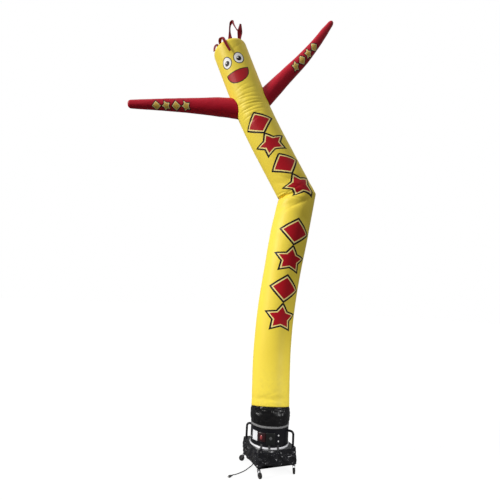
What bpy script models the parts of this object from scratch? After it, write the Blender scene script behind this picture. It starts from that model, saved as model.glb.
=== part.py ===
"""Inflatable air dancer standing on its wheeled blower, caught as it folds in the wind.

Metres, +Z up, -Y towards the viewer. The origin lies on the floor, under the middle of the
whole figure. Everything is placed from the blower's upright axis, which stands BLOWER_X to
the right of that point. The blower's square base is turned by BASE_TURN about the same axis.
"""
import bpy
import bmesh
from math import atan2, cos, degrees, exp, pi, radians, sin, sqrt
from mathutils import Matrix, Vector
from mathutils.bvhtree import BVHTree

# Whole figure
BLOWER_X = 0.724          # blower axis from the origin
BASE_TURN = radians(21.9)  # turn of the square base
GAP = 0.0003              # parting between pieces that touch
ROUND_GAP = 0.0001        # added to it between two walls cut into flat sides

# Cloth
CLOTH = 0.0012            # thickness of the coated cloth
WEBBING = 0.0015          # thickness of straps and tabs
TUBE_R = 0.2285           # 18 in tube
TUBE_SIDES = 20
SEAM_Z = 0.697            # seam between the body and its black sleeve
SEAM_RISE = 0.045         # the seam rides up at the front and down at the back
KNEE_REACH = 0.20         # length of tube that gives way on each side of the fold
KNEE_DEPTH = 0.034        # how far the fold's crease is driven in
KNEE_WIDTH = 0.035
CROWN_LENGTH = 0.100      # rounded end of the head
CROWN_POWER = 3.0

# Centre line of the body, as x from the blower axis and z
BODY_BELOW_FOLD = ((-0.004, 0.697), (-0.012, 1.350), (0.026, 1.960), (0.130, 2.730),
                   (0.2245, 3.2975))
BODY_ABOVE_FOLD = ((0.2245, 3.2975), (-0.030, 3.745), (-0.196, 4.037), (-0.368, 4.367),
                   (-0.523, 4.720), (-0.645, 5.005), (-0.749, 5.250))

# Main creases: length above or below the fold, angle round the tube (270 is the front),
# half reach round it, slant in metres per radian, width along it, depth. The last row is a
# swelling under the fold, where the air is held up
CREASES = (
    (1.13, 248, 30, 0.10, 0.040, 0.009),
    (1.27, 262, 38, 0.05, 0.040, 0.008),
    (1.38, 235, 26, 0.16, 0.040, 0.007),
    (1.20, 80, 45, -0.06, 0.050, 0.008),
    (0.17, 290, 55, -0.06, 0.045, 0.010),
    (-0.15, 262, 60, 0.10, 0.050, 0.011),
    (-0.30, 300, 45, -0.12, 0.055, 0.006),
    (-2.52, 265, 70, 0.01, 0.035, 0.006),
    (-0.50, 270, 900, 0.00, 0.360, -0.0115),
)

# Arms: centre x, z and radius. The first row lies inside the body, which trims the root.
ARM_SIDES = 24
ARM_GAP = 0.0017          # from the true round of the body
LEFT_ARM = ((-0.400, 4.449, 0.142), (-0.880, 4.471, 0.121), (-1.200, 4.470, 0.098),
            (-1.700, 4.460, 0.0725), (-2.030, 4.4455, 0.0565))
LEFT_ARM_TIP = 0.047
RIGHT_ARM = ((-0.430, 4.424, 0.134), (0.010, 4.955, 0.0985), (0.240, 5.232, 0.0825),
             (0.403, 5.461, 0.0645), (0.508, 5.631, 0.054), (0.573, 5.733, 0.041))
RIGHT_ARM_TIP = 0.085

# Hair: each strip's stations as x from the blower axis, y, z, half width and twist in degrees
# from the side that the root gives
HAIR = {
    "hair_1": ((-0.922, -0.024, 5.260, 0.012, 30), (-0.924, -0.028, 5.306, 0.017, 30),
               (-0.934, -0.030, 5.344, 0.020, 30), (-0.956, -0.030, 5.338, 0.020, 35),
               (-0.970, -0.030, 5.300, 0.020, 40), (-0.972, -0.026, 5.250, 0.017, 45)),
    "hair_2": ((-0.872, -0.060, 5.300, 0.016, 5), (-0.897, -0.080, 5.347, 0.020, 5),
               (-0.889, -0.120, 5.370, 0.023, 15), (-0.862, -0.172, 5.352, 0.022, 30),
               (-0.834, -0.222, 5.292, 0.020, 32), (-0.803, -0.243, 5.224, 0.018, 33),
               (-0.770, -0.249, 5.166, 0.017, 33), (-0.738, -0.249, 5.114, 0.015, 33)),
    "hair_3": ((-0.764, -0.030, 5.357, 0.026, 0), (-0.766, -0.030, 5.430, 0.030, 0),
               (-0.774, -0.030, 5.495, 0.020, 15), (-0.779, -0.030, 5.550, 0.014, 35),
               (-0.782, -0.030, 5.620, 0.013, 45), (-0.773, -0.030, 5.676, 0.018, 30),
               (-0.752, -0.030, 5.698, 0.020, 30), (-0.731, -0.034, 5.655, 0.014, 50),
               (-0.697, -0.040, 5.593, 0.012, 70), (-0.668, -0.046, 5.553, 0.012, 60)),
    "hair_4": ((-0.645, -0.020, 5.404, 0.019, 0), (-0.644, -0.020, 5.450, 0.022, 5),
               (-0.644, -0.020, 5.505, 0.028, 10), (-0.643, -0.020, 5.560, 0.034, 5),
               (-0.641, -0.020, 5.620, 0.025, 15), (-0.639, -0.020, 5.682, 0.013, 30)),
    "hair_5": ((-0.720, 0.120, 5.372, 0.017, 0), (-0.722, 0.130, 5.430, 0.020, 10),
               (-0.735, 0.142, 5.485, 0.020, 25), (-0.760, 0.155, 5.520, 0.020, 30),
               (-0.792, 0.175, 5.535, 0.018, 40), (-0.830, 0.200, 5.500, 0.016, 40)),
}
HAIR_LIFT = 0.00084       # root above the crown
HAIR_CLEAR = 0.0045       # rest of the strip above the crown
HAIR_STEPS = 2            # rows between two stations

# Black sleeve: height and radius, the last rows counted from the seam
SLEEVE_LOW = ((0.490, 0.2266), (0.530, 0.2266), (0.545, 0.2290), (0.560, 0.2322),
              (0.590, 0.2345), (0.625, 0.2385))
SLEEVE_TOP = ((-0.022, 0.2365), (-0.004, 0.2269), (0.016, 0.2269))
SLEEVE_HEM_ROWS = 3       # rows that lie smooth on the drum and its rim
STRAP_Z = (0.501, 0.523)

# Blower
DRUM_R = 0.225
DRUM_WALL = 0.0022
DRUM_SIDES = 40
DRUM_TOP = 0.566
DECK_TOP = 0.278
DECK_THICK = 0.004
BASE_HALF = 0.2335
BASE_CORNER_R = 0.012
POST = 0.020
POST_FOOT = 0.0905
PAN_THICK = 0.003
INTAKE_R = 0.170
FLANGE_R = 0.2325
FLANGE_H = 0.0185
MOTOR_R = 0.066
MOTOR_H = 0.140

# Fittings on the drum's wall: the lens and the boss sit on ridges of the many-sided wall
LAMP_THICK = 0.012
BOX_THICK = 0.018
LENS_AZ = -117.0
BOSS_AZ = -90.0

# Handles, at the left and right corners
HANDLE_TUBE_R = 0.0135
HANDLE_REACH = 0.2945
HANDLE_TOP = 0.450
HANDLE_BEND_R = 0.036

# Intake cover of shiny black cloth
SKIRT_CLEAR = 0.0022
SKIRT_TOP = 0.2815
SKIRT_HEM = 0.110
SKIRT_STEPS = 11          # along each side
SKIRT_CORNER_STEPS = 2
SKIRT_ROWS = 6
# Folds: place along the rim in sides from the front corner, slant in sides for the whole
# drop, width in sides, depth
SKIRT_FOLDS = (
    (0.10, -0.16, 0.060, 0.010), (0.36, 0.22, 0.070, 0.012), (0.58, 0.30, 0.060, 0.010),
    (0.86, 0.20, 0.050, 0.008), (1.22, 0.10, 0.080, 0.010), (1.55, -0.18, 0.070, 0.011),
    (1.84, 0.12, 0.050, 0.008), (2.25, 0.20, 0.080, 0.010), (2.62, -0.12, 0.070, 0.010),
    (3.12, 0.14, 0.060, 0.009), (3.45, -0.20, 0.070, 0.011), (3.78, 0.24, 0.060, 0.012),
)

# Tabs that hold the cover: azimuth on the drum, side of the base (azimuth of its normal from
# BASE_TURN, in quarter turns) and place along that side
TABS = {
    "tab_1": (-116.3, -2, 0.204),
    "tab_2": (-93.0, -1, -0.100),
    "tab_3": (-67.5, -1, 0.002),
    "tab_4": (21.9, 0, 0.000),
    "tab_5": (112.0, 1, 0.000),
}
TAB_HALF = 0.0125

# Casters: corner in quarter turns from the front one, and heading of the trailing wheel
CASTERS = {"front": (0, -58.0), "right": (1, -90.0), "back": (2, 62.0), "left": (3, 165.0)}
CASTER_OFFSET = 0.2215    # stem from the middle of the base, along each side
WHEEL_R = 0.033
WHEEL_W = 0.023
WHEEL_SIDES = 20
TRAIL = 0.028
STEM_R = 0.005
AXLE_R = 0.0047

# Mains lead
CORD_R = 0.005
GLAND_AZ = 103.5
GLAND_Z = 0.350
GLAND_LENGTH = 0.056
COIL_TURN_R = 0.058       # middle of the turns
COIL_HALF_BAND = 0.015
COIL_HEIGHT = 0.021
COIL_ENTRY_REACH = 0.460  # where the lead runs into the coil, from the blower axis
COIL_SIDES = 24
COIL_EXIT_AZ = 192.7      # seen from the coil's middle, where the cord leaves its outer turn
FLOOR_Z = CORD_R + GAP
# Lead from the gland to the coil: distance from the blower axis and height
LEAD_ROUTE = ((0.2811, 0.3500), (0.2960, 0.3500), (0.3160, 0.3455), (0.3350, 0.3310),
              (0.3470, 0.3080), (0.3515, 0.2750), (0.3520, 0.2300), (0.3520, 0.1800),
              (0.3520, 0.1300), (0.3520, 0.0850), (0.3560, 0.0480), (0.3680, 0.0220),
              (0.3840, 0.0090), (0.4010, FLOOR_Z))
# Lead on the floor, from the coil to the plug, as x from the blower axis and y
RUN_ROUTE = ((-0.2229, 0.3412), (-0.2085, 0.2700), (-0.1945, 0.2000), (-0.1830, 0.1250),
             (-0.1780, 0.0480), (-0.1960, -0.0080), (-0.2220, -0.0540),
             (-0.2500, -0.1050), (-0.2840, -0.1560), (-0.3230, -0.1990), (-0.3620, -0.2380),
             (-0.3880, -0.2640), (-0.4020, -0.2785), (-0.4070, -0.2837))
PLUG_RISE = 0.0078        # the cord climbs this much into the plug
PLUG_HEADING = -134.0

FINISHES = {
    # name: colour, roughness, metallic
    "yellow_cloth": ((0.93, 0.80, 0.05), 0.55, 0.0),
    "red_cloth": ((0.55, 0.02, 0.05), 0.55, 0.0),
    "crimson_cloth": ((0.26, 0.01, 0.05), 0.60, 0.0),
    "black_cloth": ((0.012, 0.012, 0.014), 0.50, 0.0),
    "shiny_black_cloth": ((0.015, 0.015, 0.020), 0.28, 0.0),
    "webbing": ((0.30, 0.30, 0.31), 0.60, 0.0),
    "black_webbing": ((0.015, 0.015, 0.016), 0.65, 0.0),
    "black_steel": ((0.016, 0.016, 0.022), 0.35, 0.0),
    "bright_steel": ((0.75, 0.75, 0.77), 0.25, 1.0),
    "chrome": ((0.82, 0.82, 0.84), 0.12, 1.0),
    "rubber": ((0.012, 0.012, 0.012), 0.75, 0.0),
    "cord_rubber": ((0.03, 0.03, 0.03), 0.60, 0.0),
    "white_plastic": ((0.82, 0.84, 0.88), 0.35, 0.0),
    "dark_red_plastic": ((0.12, 0.005, 0.010), 0.35, 0.0),
    "red_lens": ((0.55, 0.05, 0.07), 0.15, 0.0),
    "black_plastic": ((0.02, 0.02, 0.02), 0.40, 0.0),
    "zinc": ((0.80, 0.80, 0.80), 0.35, 1.0),
}


# Scene, materials and small helpers

def clear_scene():
    for obj in list(bpy.data.objects):
        bpy.data.objects.remove(obj, do_unlink=True)


def make_collection(name):
    collection = bpy.data.collections.new(name)
    bpy.context.scene.collection.children.link(collection)
    return collection


def make_materials():
    made = {}
    for name, (colour, roughness, metallic) in FINISHES.items():
        material = bpy.data.materials.new(name)
        material.use_nodes = True
        shader = material.node_tree.nodes["Principled BSDF"]
        shader.inputs["Base Color"].default_value = (*colour, 1.0)
        shader.inputs["Roughness"].default_value = roughness
        shader.inputs["Metallic"].default_value = metallic
        material.diffuse_color = (*colour, 1.0)
        made[name] = material
    return made


def make_empty(name, location, turn=0.0, parent=None):
    empty = bpy.data.objects.new(name, None)
    PARTS.objects.link(empty)
    empty.location = location
    empty.rotation_euler = (0.0, 0.0, turn)
    empty.parent = parent
    return empty


def add_part(name, data, finish, parent=None):
    obj = bpy.data.objects.new(name, data)
    PARTS.objects.link(obj)
    obj.data.materials.clear()
    obj.data.materials.append(MATERIALS[finish])
    obj.parent = parent or AXIS
    return obj


def polar(radius, azimuth):
    return Vector((radius * cos(radians(azimuth)), radius * sin(radians(azimuth)), 0.0))


def take_mesh(obj):
    """The evaluated mesh of an object that is then removed, with loose caps welded."""
    bpy.context.view_layer.update()
    evaluated = obj.evaluated_get(bpy.context.evaluated_depsgraph_get())
    mesh = bpy.data.meshes.new_from_object(evaluated)
    matrix = obj.matrix_world.copy()
    bpy.data.objects.remove(obj, do_unlink=True)
    bm = bmesh.new()
    bm.from_mesh(mesh)
    bm.transform(matrix)
    bmesh.ops.remove_doubles(bm, verts=bm.verts, dist=0.00001)
    bm.to_mesh(mesh)
    bm.free()
    return mesh


def guide_object(name, mesh):
    """A helper body in the cutters' collection."""
    obj = bpy.data.objects.new(name, mesh)
    CUTTERS.objects.link(obj)
    obj.hide_render = True
    obj.display_type = "WIRE"
    return obj


def primitive_mesh(kind, size, centre=(0, 0, 0), turn=None, segments=16, corner=0.0):
    """A box (size x, y, z) or an upright cylinder (radius, height) as its own mesh."""
    bm = bmesh.new()
    if kind == "box":
        bmesh.ops.create_cube(bm, size=1.0)
        bmesh.ops.scale(bm, vec=size, verts=bm.verts)
        upright = [e for e in bm.edges if abs(e.verts[0].co.z - e.verts[1].co.z) > size[2] / 2]
        if corner > 0.0:
            bmesh.ops.bevel(bm, geom=upright, offset=corner, segments=2, profile=0.5,
                            affect="EDGES")
    else:
        bmesh.ops.create_cone(bm, cap_ends=True, segments=segments, radius1=size[0],
                              radius2=size[0], depth=size[1])
    if turn is not None:
        bmesh.ops.rotate(bm, cent=(0, 0, 0), matrix=turn, verts=bm.verts)
    bmesh.ops.translate(bm, vec=centre, verts=bm.verts)
    mesh = bpy.data.meshes.new(kind)
    bm.to_mesh(mesh)
    bm.free()
    return mesh


def combine(base_mesh, others, operation):
    """Union or difference of closed bodies, given back as one mesh."""
    base = guide_object("base", base_mesh)
    helpers = []
    for index, mesh in enumerate(others):
        helper = guide_object("helper_%d" % index, mesh)
        modifier = base.modifiers.new("combine_%d" % index, "BOOLEAN")
        modifier.operation = operation
        modifier.object = helper
        helpers.append(helper)
    mesh = take_mesh(base)
    for helper in helpers:
        bpy.data.objects.remove(helper, do_unlink=True)
    return mesh


def turned_mesh(profile, steps):
    """A profile of (radius, height), outer side from top to bottom, turned about Z."""
    mesh = bpy.data.meshes.new("profile")
    points = [(radius, 0.0, height) for radius, height in profile]
    open_ended = profile[0][0] == 0.0
    edges = [(i, i + 1) for i in range(len(points) - 1)]
    if not open_ended:
        edges.append((len(points) - 1, 0))
    mesh.from_pydata(points, edges, [])
    obj = guide_object("profile", mesh)
    screw = obj.modifiers.new("turn", "SCREW")
    screw.steps = steps
    screw.render_steps = steps
    screw.use_merge_vertices = True
    screw.merge_threshold = 0.00001
    screw.use_normal_calculate = False
    return take_mesh(obj)


def smooth(mesh, angle=35.0):
    mesh.shade_smooth()
    mesh.set_sharp_from_angle(angle=radians(angle))
    return mesh


def rolled_panel(name, columns, rows, place, thickness, finish, closed=True):
    """A flat cloth panel of columns by rows cells, bent to shape by place(column, row).

    A closed panel is joined along its side edges. The thickness goes inwards."""
    bm = bmesh.new()
    bmesh.ops.create_grid(bm, x_segments=columns, y_segments=rows, size=1.0)
    for vert in bm.verts:
        column = round((vert.co.x + 1.0) / 2.0 * columns)
        row = round((vert.co.y + 1.0) / 2.0 * rows)
        vert.co = place(column % columns if closed else column, row)
    bmesh.ops.remove_doubles(bm, verts=bm.verts, dist=0.00001)
    mesh = bpy.data.meshes.new(name)
    bm.to_mesh(mesh)
    bm.free()
    panel = add_part(name, smooth(mesh, 60.0), finish)
    wall = panel.modifiers.new("thickness", "SOLIDIFY")
    wall.thickness = thickness
    wall.offset = -1.0
    return panel


def catmull_rom(points, steps):
    """A smooth line through the points, each stretch divided into steps."""
    points = [Vector(p) for p in points]
    padded = [2 * points[0] - points[1]] + points + [2 * points[-1] - points[-2]]
    line = []
    for i in range(1, len(padded) - 2):
        p0, p1, p2, p3 = padded[i - 1:i + 3]
        for k in range(steps):
            t = k / steps
            line.append(0.5 * (2 * p1 + (p2 - p0) * t + (2 * p0 - 5 * p1 + 4 * p2 - p3) * t * t
                               + (3 * p1 - p0 - 3 * p2 + p3) * t ** 3))
    line.append(points[-1])
    return line


class CentreLine:
    """A smooth line read by the length along it."""

    def __init__(self, points, steps=24):
        self.points = catmull_rom(points, steps)
        self.lengths = [0.0]
        for a, b in zip(self.points, self.points[1:]):
            self.lengths.append(self.lengths[-1] + (b - a).length)
        self.length = self.lengths[-1]

    def at(self, s):
        s = min(max(s, 0.0), self.length)
        i = 1
        while i < len(self.lengths) - 1 and self.lengths[i] < s:
            i += 1
        span = self.points[i] - self.points[i - 1]
        part = (s - self.lengths[i - 1]) / (self.lengths[i] - self.lengths[i - 1])
        return self.points[i - 1] + span * part, span.normalized()

    def distance(self, point):
        best = 1e9
        for a, b in zip(self.points, self.points[1:]):
            span = b - a
            t = min(max((point - a).dot(span) / span.length_squared, 0.0), 1.0)
            best = min(best, (point - (a + span * t)).length)
        return best


# Body of the dancer

def lean_of(direction):
    """Lean of a direction in the frontal plane, positive to the right."""
    return atan2(direction.x, direction.z)


def in_plane(points):
    return [(x, 0.0, z) for x, z in points]


def fold_lean():
    below_end = LOWER.at(LOWER.length)[1]
    above_start = UPPER.at(0.0)[1]
    return 0.5 * (lean_of(below_end) + lean_of(above_start))


def body_section(s):
    """Centre, lean of the section's normal and stretch across it, s metres past the fold."""
    if s <= 0.0:
        centre, direction = LOWER.at(LOWER.length + s)
    elif s <= UPPER.length:
        centre, direction = UPPER.at(s)
    else:
        centre, direction = UPPER.at(UPPER.length)
        centre = centre + direction * (s - UPPER.length)
    lean = lean_of(direction)
    share = max(0.0, 1.0 - abs(s) / KNEE_REACH) ** 2
    tilt = (fold_lean() - lean) * share
    return centre, lean + tilt, 1.0 / cos(tilt)


def crease_depth(s, theta):
    depth = KNEE_DEPTH * exp(-(s / KNEE_WIDTH) ** 2) * (0.5 - 0.5 * cos(theta)) ** 1.5
    for place, middle, reach, slant, width, deep in CREASES:
        around = (theta - radians(middle) + pi) % (2 * pi) - pi
        along = s - place - slant * around
        depth += deep * exp(-(along / width) ** 2 - (around / radians(reach)) ** 2)
    return depth


def body_rows():
    """Rows along the tube: close together at the fold and at the arms, wide elsewhere."""
    rows = []
    s = -LOWER.length
    while s < UPPER.length - 0.05:
        rows.append(s)
        if abs(s) < 0.10:
            step = 0.034
        elif abs(s) < 0.32 or 1.04 < s < 1.46:
            step = 0.075
        else:
            step = 0.200
        s = 0.0 if s < 0.0 < s + step * 1.2 else s + step
    rows.append(UPPER.length)
    return rows


def body_point(s, theta, radius):
    centre, lean, stretch = body_section(s)
    across = Vector((cos(lean), 0.0, -sin(lean)))
    return centre + across * (radius * cos(theta) * stretch) + Vector((0, radius * sin(theta), 0))


def make_body():
    straight = body_rows()
    crown = [0.35, 0.62, 0.83, 0.95, 1.0]
    rows = len(straight) + len(crown) - 1

    def place(column, row):
        theta = 2 * pi * column / TUBE_SIDES
        if row < len(straight):
            s = straight[row]
            point = body_point(s, theta, TUBE_R - crease_depth(s, theta))
            from_seam = s + LOWER.length
            slip = max(0.0, 1.0 - from_seam / 0.40)
            return point - Vector((0, 0, SEAM_RISE * sin(theta) * slip))
        share = crown[row - len(straight)]
        radius = TUBE_R * max(0.0, 1.0 - share ** CROWN_POWER) ** (1.0 / CROWN_POWER)
        return body_point(UPPER.length + CROWN_LENGTH * share, theta, radius)

    return rolled_panel("body_tube", TUBE_SIDES, rows, place, CLOTH, "yellow_cloth")


def distance_to_body(point):
    return min(LOWER.distance(point), UPPER.distance(point))


def make_arm(name, stations, tip_length):
    """A tapering sleeve whose root is trimmed to the body and whose end is closed."""
    centres = [Vector((x, 0.0, z)) for x, z, _ in stations]
    radii = [radius for _, _, radius in stations]
    tip_shares = [0.35, 0.65, 0.88, 1.0]
    rows = 2 + (len(stations) - 1) + len(tip_shares) - 1

    def heading(i):
        ahead = centres[min(i + 1, len(centres) - 1)]
        behind = centres[max(i - 1, 0)]
        return (ahead - behind).normalized()

    def ring(centre, direction, radius, phi):
        up = Vector((direction.z, 0.0, -direction.x))
        return centre + up * (radius * cos(phi)) + Vector((0, radius * sin(phi), 0))

    def root(phi):
        inner = ring(centres[0], heading(0), radii[0], phi)
        outer = ring(centres[1], heading(1), radii[1], phi)
        low, high = 0.0, 1.0
        for _ in range(24):
            middle = 0.5 * (low + high)
            inside = distance_to_body(inner.lerp(outer, middle)) < TUBE_R + ARM_GAP
            low, high = (middle, high) if inside else (low, middle)
        return inner.lerp(outer, high), outer

    def place(column, row):
        phi = 2 * pi * column / ARM_SIDES
        if row < 2:
            start, end = root(phi)
            return start.lerp(end, 0.5 * row)
        index = row - 1
        if index < len(centres):
            return ring(centres[index], heading(index), radii[index], phi)
        share = tip_shares[index - len(centres)]
        radius = radii[-1] * sqrt(max(0.0, 1.0 - share ** 2.4))
        direction = heading(len(centres) - 1)
        return ring(centres[-1] + direction * (tip_length * share), direction, radius, phi)

    return rolled_panel(name, ARM_SIDES, rows, place, CLOTH, "red_cloth")


def clear_of(tree, point, wanted):
    """The point itself, or pushed out to the wanted distance from the cloth."""
    nearest, normal, _, gap = tree.find_nearest(point)
    outside = (point - nearest).dot(normal) > 0.0
    return point if outside and gap >= wanted else nearest + normal * wanted


def make_hair(name, stations, crown):
    """A cut strip whose root sits on the crown and whose rest stays clear of it."""
    centres = catmull_rom([station[:3] for station in stations], HAIR_STEPS)
    shapes = catmull_rom([(half, radians(twist)) for _, _, _, half, twist in stations], HAIR_STEPS)
    root, root_normal, _, _ = crown.find_nearest(centres[0])
    centres[0] = root + root_normal * HAIR_LIFT

    frames = []
    side = Vector((1, 0, 0))
    for row in range(len(centres)):
        ahead = centres[min(row + 1, len(centres) - 1)]
        behind = centres[max(row - 1, 0)]
        direction = (ahead - behind).normalized()
        side = (side - direction * side.dot(direction)).normalized()
        frames.append((side, direction))

    def place(column, row):
        side, direction = frames[row]
        half, twist = shapes[row]
        side = Matrix.Rotation(twist, 3, direction) @ side
        if row == 0:
            side = (side - root_normal * side.dot(root_normal)).normalized()
            lying = max(0.0, side.cross(direction).dot(root_normal))
            return centres[0] + root_normal * (CLOTH * lying) + side * (half * (column - 1))
        return clear_of(crown, centres[row] + side * (half * (column - 1)), HAIR_CLEAR)

    return rolled_panel(name, 2, len(centres) - 1, place, CLOTH, "crimson_cloth", closed=False)


def facet_radius(radius, azimuth, sides):
    """Distance from the axis to a many-sided wall, at an azimuth in degrees."""
    side = 360.0 / sides
    return radius * cos(radians(side / 2)) / cos(radians(azimuth % side - side / 2))


def seam_height(theta):
    return SEAM_Z - SEAM_RISE * sin(theta)


def make_sleeve():
    """Sewn inside the body's lower edge, swollen, and gathered onto the drum by the strap."""
    rows = len(SLEEVE_LOW) + len(SLEEVE_TOP) - 1
    seam_centre, _, _ = body_section(-LOWER.length)

    def place(column, row):
        azimuth = 360.0 * column / DRUM_SIDES
        theta = radians(azimuth)
        if row < len(SLEEVE_LOW):
            height, radius = SLEEVE_LOW[row]
            if row > SLEEVE_HEM_ROWS:
                radius += 0.0022 * sin(3 * theta + 9 * height) + 0.0014 * sin(7 * theta)
                climb = (height - SLEEVE_LOW[3][0]) / (SEAM_Z - SLEEVE_LOW[3][0])
                height += max(0.0, climb) * (seam_height(theta) - SEAM_Z)
            return polar(radius, azimuth) + Vector((0, 0, height))
        above, radius = SLEEVE_TOP[row - len(SLEEVE_LOW)]
        shift = seam_centre.x if radius < TUBE_R else 0.0
        if radius < TUBE_R:
            radius = facet_radius(radius, azimuth, TUBE_SIDES)
        return polar(radius, azimuth) + Vector((shift, 0, seam_height(theta) + above))

    return rolled_panel("sleeve", DRUM_SIDES, rows, place, CLOTH, "black_cloth")


def make_strap():
    radius = SLEEVE_LOW[0][1] + 0.0004 + WEBBING

    def place(column, row):
        return polar(radius, 360.0 * column / DRUM_SIDES) + Vector((0, 0, STRAP_Z[row]))

    return rolled_panel("strap", DRUM_SIDES, 1, place, WEBBING, "webbing")


# Blower

def make_drum():
    inner = DRUM_R - DRUM_WALL
    profile = ((inner, DRUM_TOP), (DRUM_R + 0.0018, DRUM_TOP), (DRUM_R + 0.0046, DRUM_TOP - 0.003),
               (DRUM_R + 0.0046, DRUM_TOP - 0.010), (DRUM_R, DRUM_TOP - 0.016),
               (DRUM_R, DECK_TOP + GAP), (inner, DECK_TOP + GAP))
    add_part("drum", smooth(turned_mesh(profile, DRUM_SIDES)), "black_steel")
    foot = DECK_TOP + GAP
    inside = DRUM_R + GAP + ROUND_GAP
    profile = ((inside, foot + FLANGE_H), (FLANGE_R - 0.002, foot + FLANGE_H),
               (FLANGE_R, foot + FLANGE_H - 0.002), (FLANGE_R, foot), (inside, foot))
    add_part("flange_ring", smooth(turned_mesh(profile, DRUM_SIDES)), "bright_steel")


def make_base():
    deck_size = (2 * BASE_HALF, 2 * BASE_HALF, DECK_THICK)
    deck_centre = (0, 0, DECK_TOP - DECK_THICK / 2)
    hole = primitive_mesh("cylinder", (DRUM_R - 0.010, 0.05), deck_centre, segments=DRUM_SIDES)
    plate = primitive_mesh("box", deck_size, deck_centre, corner=BASE_CORNER_R - 0.002)
    add_part("deck", combine(plate, [hole], "DIFFERENCE"), "black_steel", BASE)

    pan_half = CASTER_OFFSET + POST / 2
    pan_z = POST_FOOT + PAN_THICK / 2
    cuts = [primitive_mesh("cylinder", (INTAKE_R, 0.05), (0, 0, pan_z), segments=40)]
    notch = POST + GAP
    for quarter in range(4):
        place = Matrix.Rotation(quarter * pi / 2, 3, "Z") @ Vector((pan_half, pan_half, pan_z))
        cuts.append(primitive_mesh("box", (2 * notch, 2 * notch, 0.05), place))
    pan = primitive_mesh("box", (2 * pan_half, 2 * pan_half, PAN_THICK), (0, 0, pan_z))
    add_part("base_pan", combine(pan, cuts, "DIFFERENCE"), "black_steel", BASE)

    post_height = DECK_TOP - DECK_THICK - GAP - POST_FOOT
    for name, (quarter, _) in CASTERS.items():
        bore = primitive_mesh("cylinder", (STEM_R + 0.0006, 2 * 0.0175), (0, 0, POST_FOOT))
        block = primitive_mesh("box", (POST, POST, post_height),
                               (0, 0, POST_FOOT + post_height / 2), corner=0.004)
        post = add_part("post_" + name, combine(block, [bore], "DIFFERENCE"), "black_steel", BASE)
        post.location = corner_place(quarter)


def corner_place(quarter):
    """A caster's stem axis in the base's own frame; quarter 0 is the front corner."""
    return Matrix.Rotation(quarter * pi / 2, 3, "Z") @ Vector((-CASTER_OFFSET, -CASTER_OFFSET, 0))


def make_motor():
    guard_z = POST_FOOT + PAN_THICK + GAP
    bar = (2 * INTAKE_R + 0.040, 0.028, 0.004)
    middle = guard_z + bar[2] / 2
    others = [primitive_mesh("box", (bar[1], bar[0], bar[2]), (0, 0, middle)),
              primitive_mesh("cylinder", (MOTOR_R + 0.006, bar[2]), (0, 0, middle), segments=32)]
    for radius in (0.104, 0.138):
        ring = ((radius - 0.002, guard_z + 0.0036), (radius + 0.002, guard_z + 0.0036),
                (radius + 0.002, guard_z + 0.0004), (radius - 0.002, guard_z + 0.0004))
        others.append(turned_mesh(ring, 20))
    guard = primitive_mesh("box", bar, (0, 0, middle))
    add_part("intake_guard", combine(guard, others, "UNION"), "black_steel", BASE)
    foot = guard_z + bar[2] + GAP
    profile = ((0.0, foot + MOTOR_H), (0.030, foot + MOTOR_H), (MOTOR_R, foot + MOTOR_H - 0.022),
               (MOTOR_R, foot + 0.010), (MOTOR_R - 0.008, foot), (0.0, foot))
    add_part("motor", smooth(turned_mesh(profile, 24)), "black_steel", BASE)


def make_handle(name, azimuth):
    """A bent tube from the drum's wall, out over the corner and down to the deck."""
    start = Vector((DRUM_R + GAP, 0.0, HANDLE_TOP))
    points = [start]
    centre = Vector((HANDLE_REACH - HANDLE_BEND_R, 0.0, HANDLE_TOP - HANDLE_BEND_R))
    for k in range(6):
        angle = pi / 2 * (1 - k / 5)
        points.append(centre + Vector((cos(angle), 0, sin(angle))) * HANDLE_BEND_R)
    points.append(Vector((HANDLE_REACH, 0.0, DECK_TOP + GAP)))
    handle = wire(name, points, HANDLE_TUBE_R, 3, "black_steel")
    handle.rotation_euler = (0, 0, radians(azimuth))
    return handle


def wire(name, points, radius, resolution, finish):
    curve = bpy.data.curves.new(name, "CURVE")
    curve.dimensions = "3D"
    curve.bevel_depth = radius
    curve.bevel_resolution = resolution
    curve.use_fill_caps = True
    spline = curve.splines.new("POLY")
    spline.points.add(len(points) - 1)
    for point, place in zip(spline.points, points):
        point.co = (*place, 1.0)
    return add_part(name, curve, finish)


# Fittings on the drum's wall

def plate_face(thickness, azimuth):
    """Reach of the outer face of a plate that lies on the drum's wall."""
    flare = thickness / cos(pi / DRUM_SIDES)
    return facet_radius(DRUM_R, azimuth, DRUM_SIDES) + GAP + ROUND_GAP + flare


def make_wall_plate(name, azimuths, heights, thickness, finish):
    side = 360.0 / DRUM_SIDES
    low, high = azimuths
    ridges = [k * side for k in range(-DRUM_SIDES, DRUM_SIDES)]
    stops = [low] + [ridge for ridge in ridges if low + 0.5 < ridge < high - 0.5] + [high]

    def place(column, row):
        azimuth = stops[column]
        return polar(plate_face(thickness, azimuth), azimuth) + Vector((0, 0, heights[row]))

    return rolled_panel(name, len(stops) - 1, 1, place, thickness, finish, closed=False)


def outward(obj, azimuth, reach, height, squash=(1, 1)):
    """Stands a turned piece out from the wall, its own Z along the azimuth."""
    turn = Matrix.Rotation(radians(azimuth), 4, "Z") @ Matrix.Rotation(pi / 2, 4, "Y")
    obj.data.transform(Matrix.Diagonal((squash[0], squash[1], 1.0, 1.0)))
    obj.matrix_local = Matrix.Translation(polar(reach, azimuth) + Vector((0, 0, height))) @ turn
    return obj


def dome_profile(radius, height):
    return ((0.0, height), (radius * 0.55, height * 0.86), (radius * 0.88, height * 0.50),
            (radius, 0.0), (0.0, 0.0))


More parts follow.
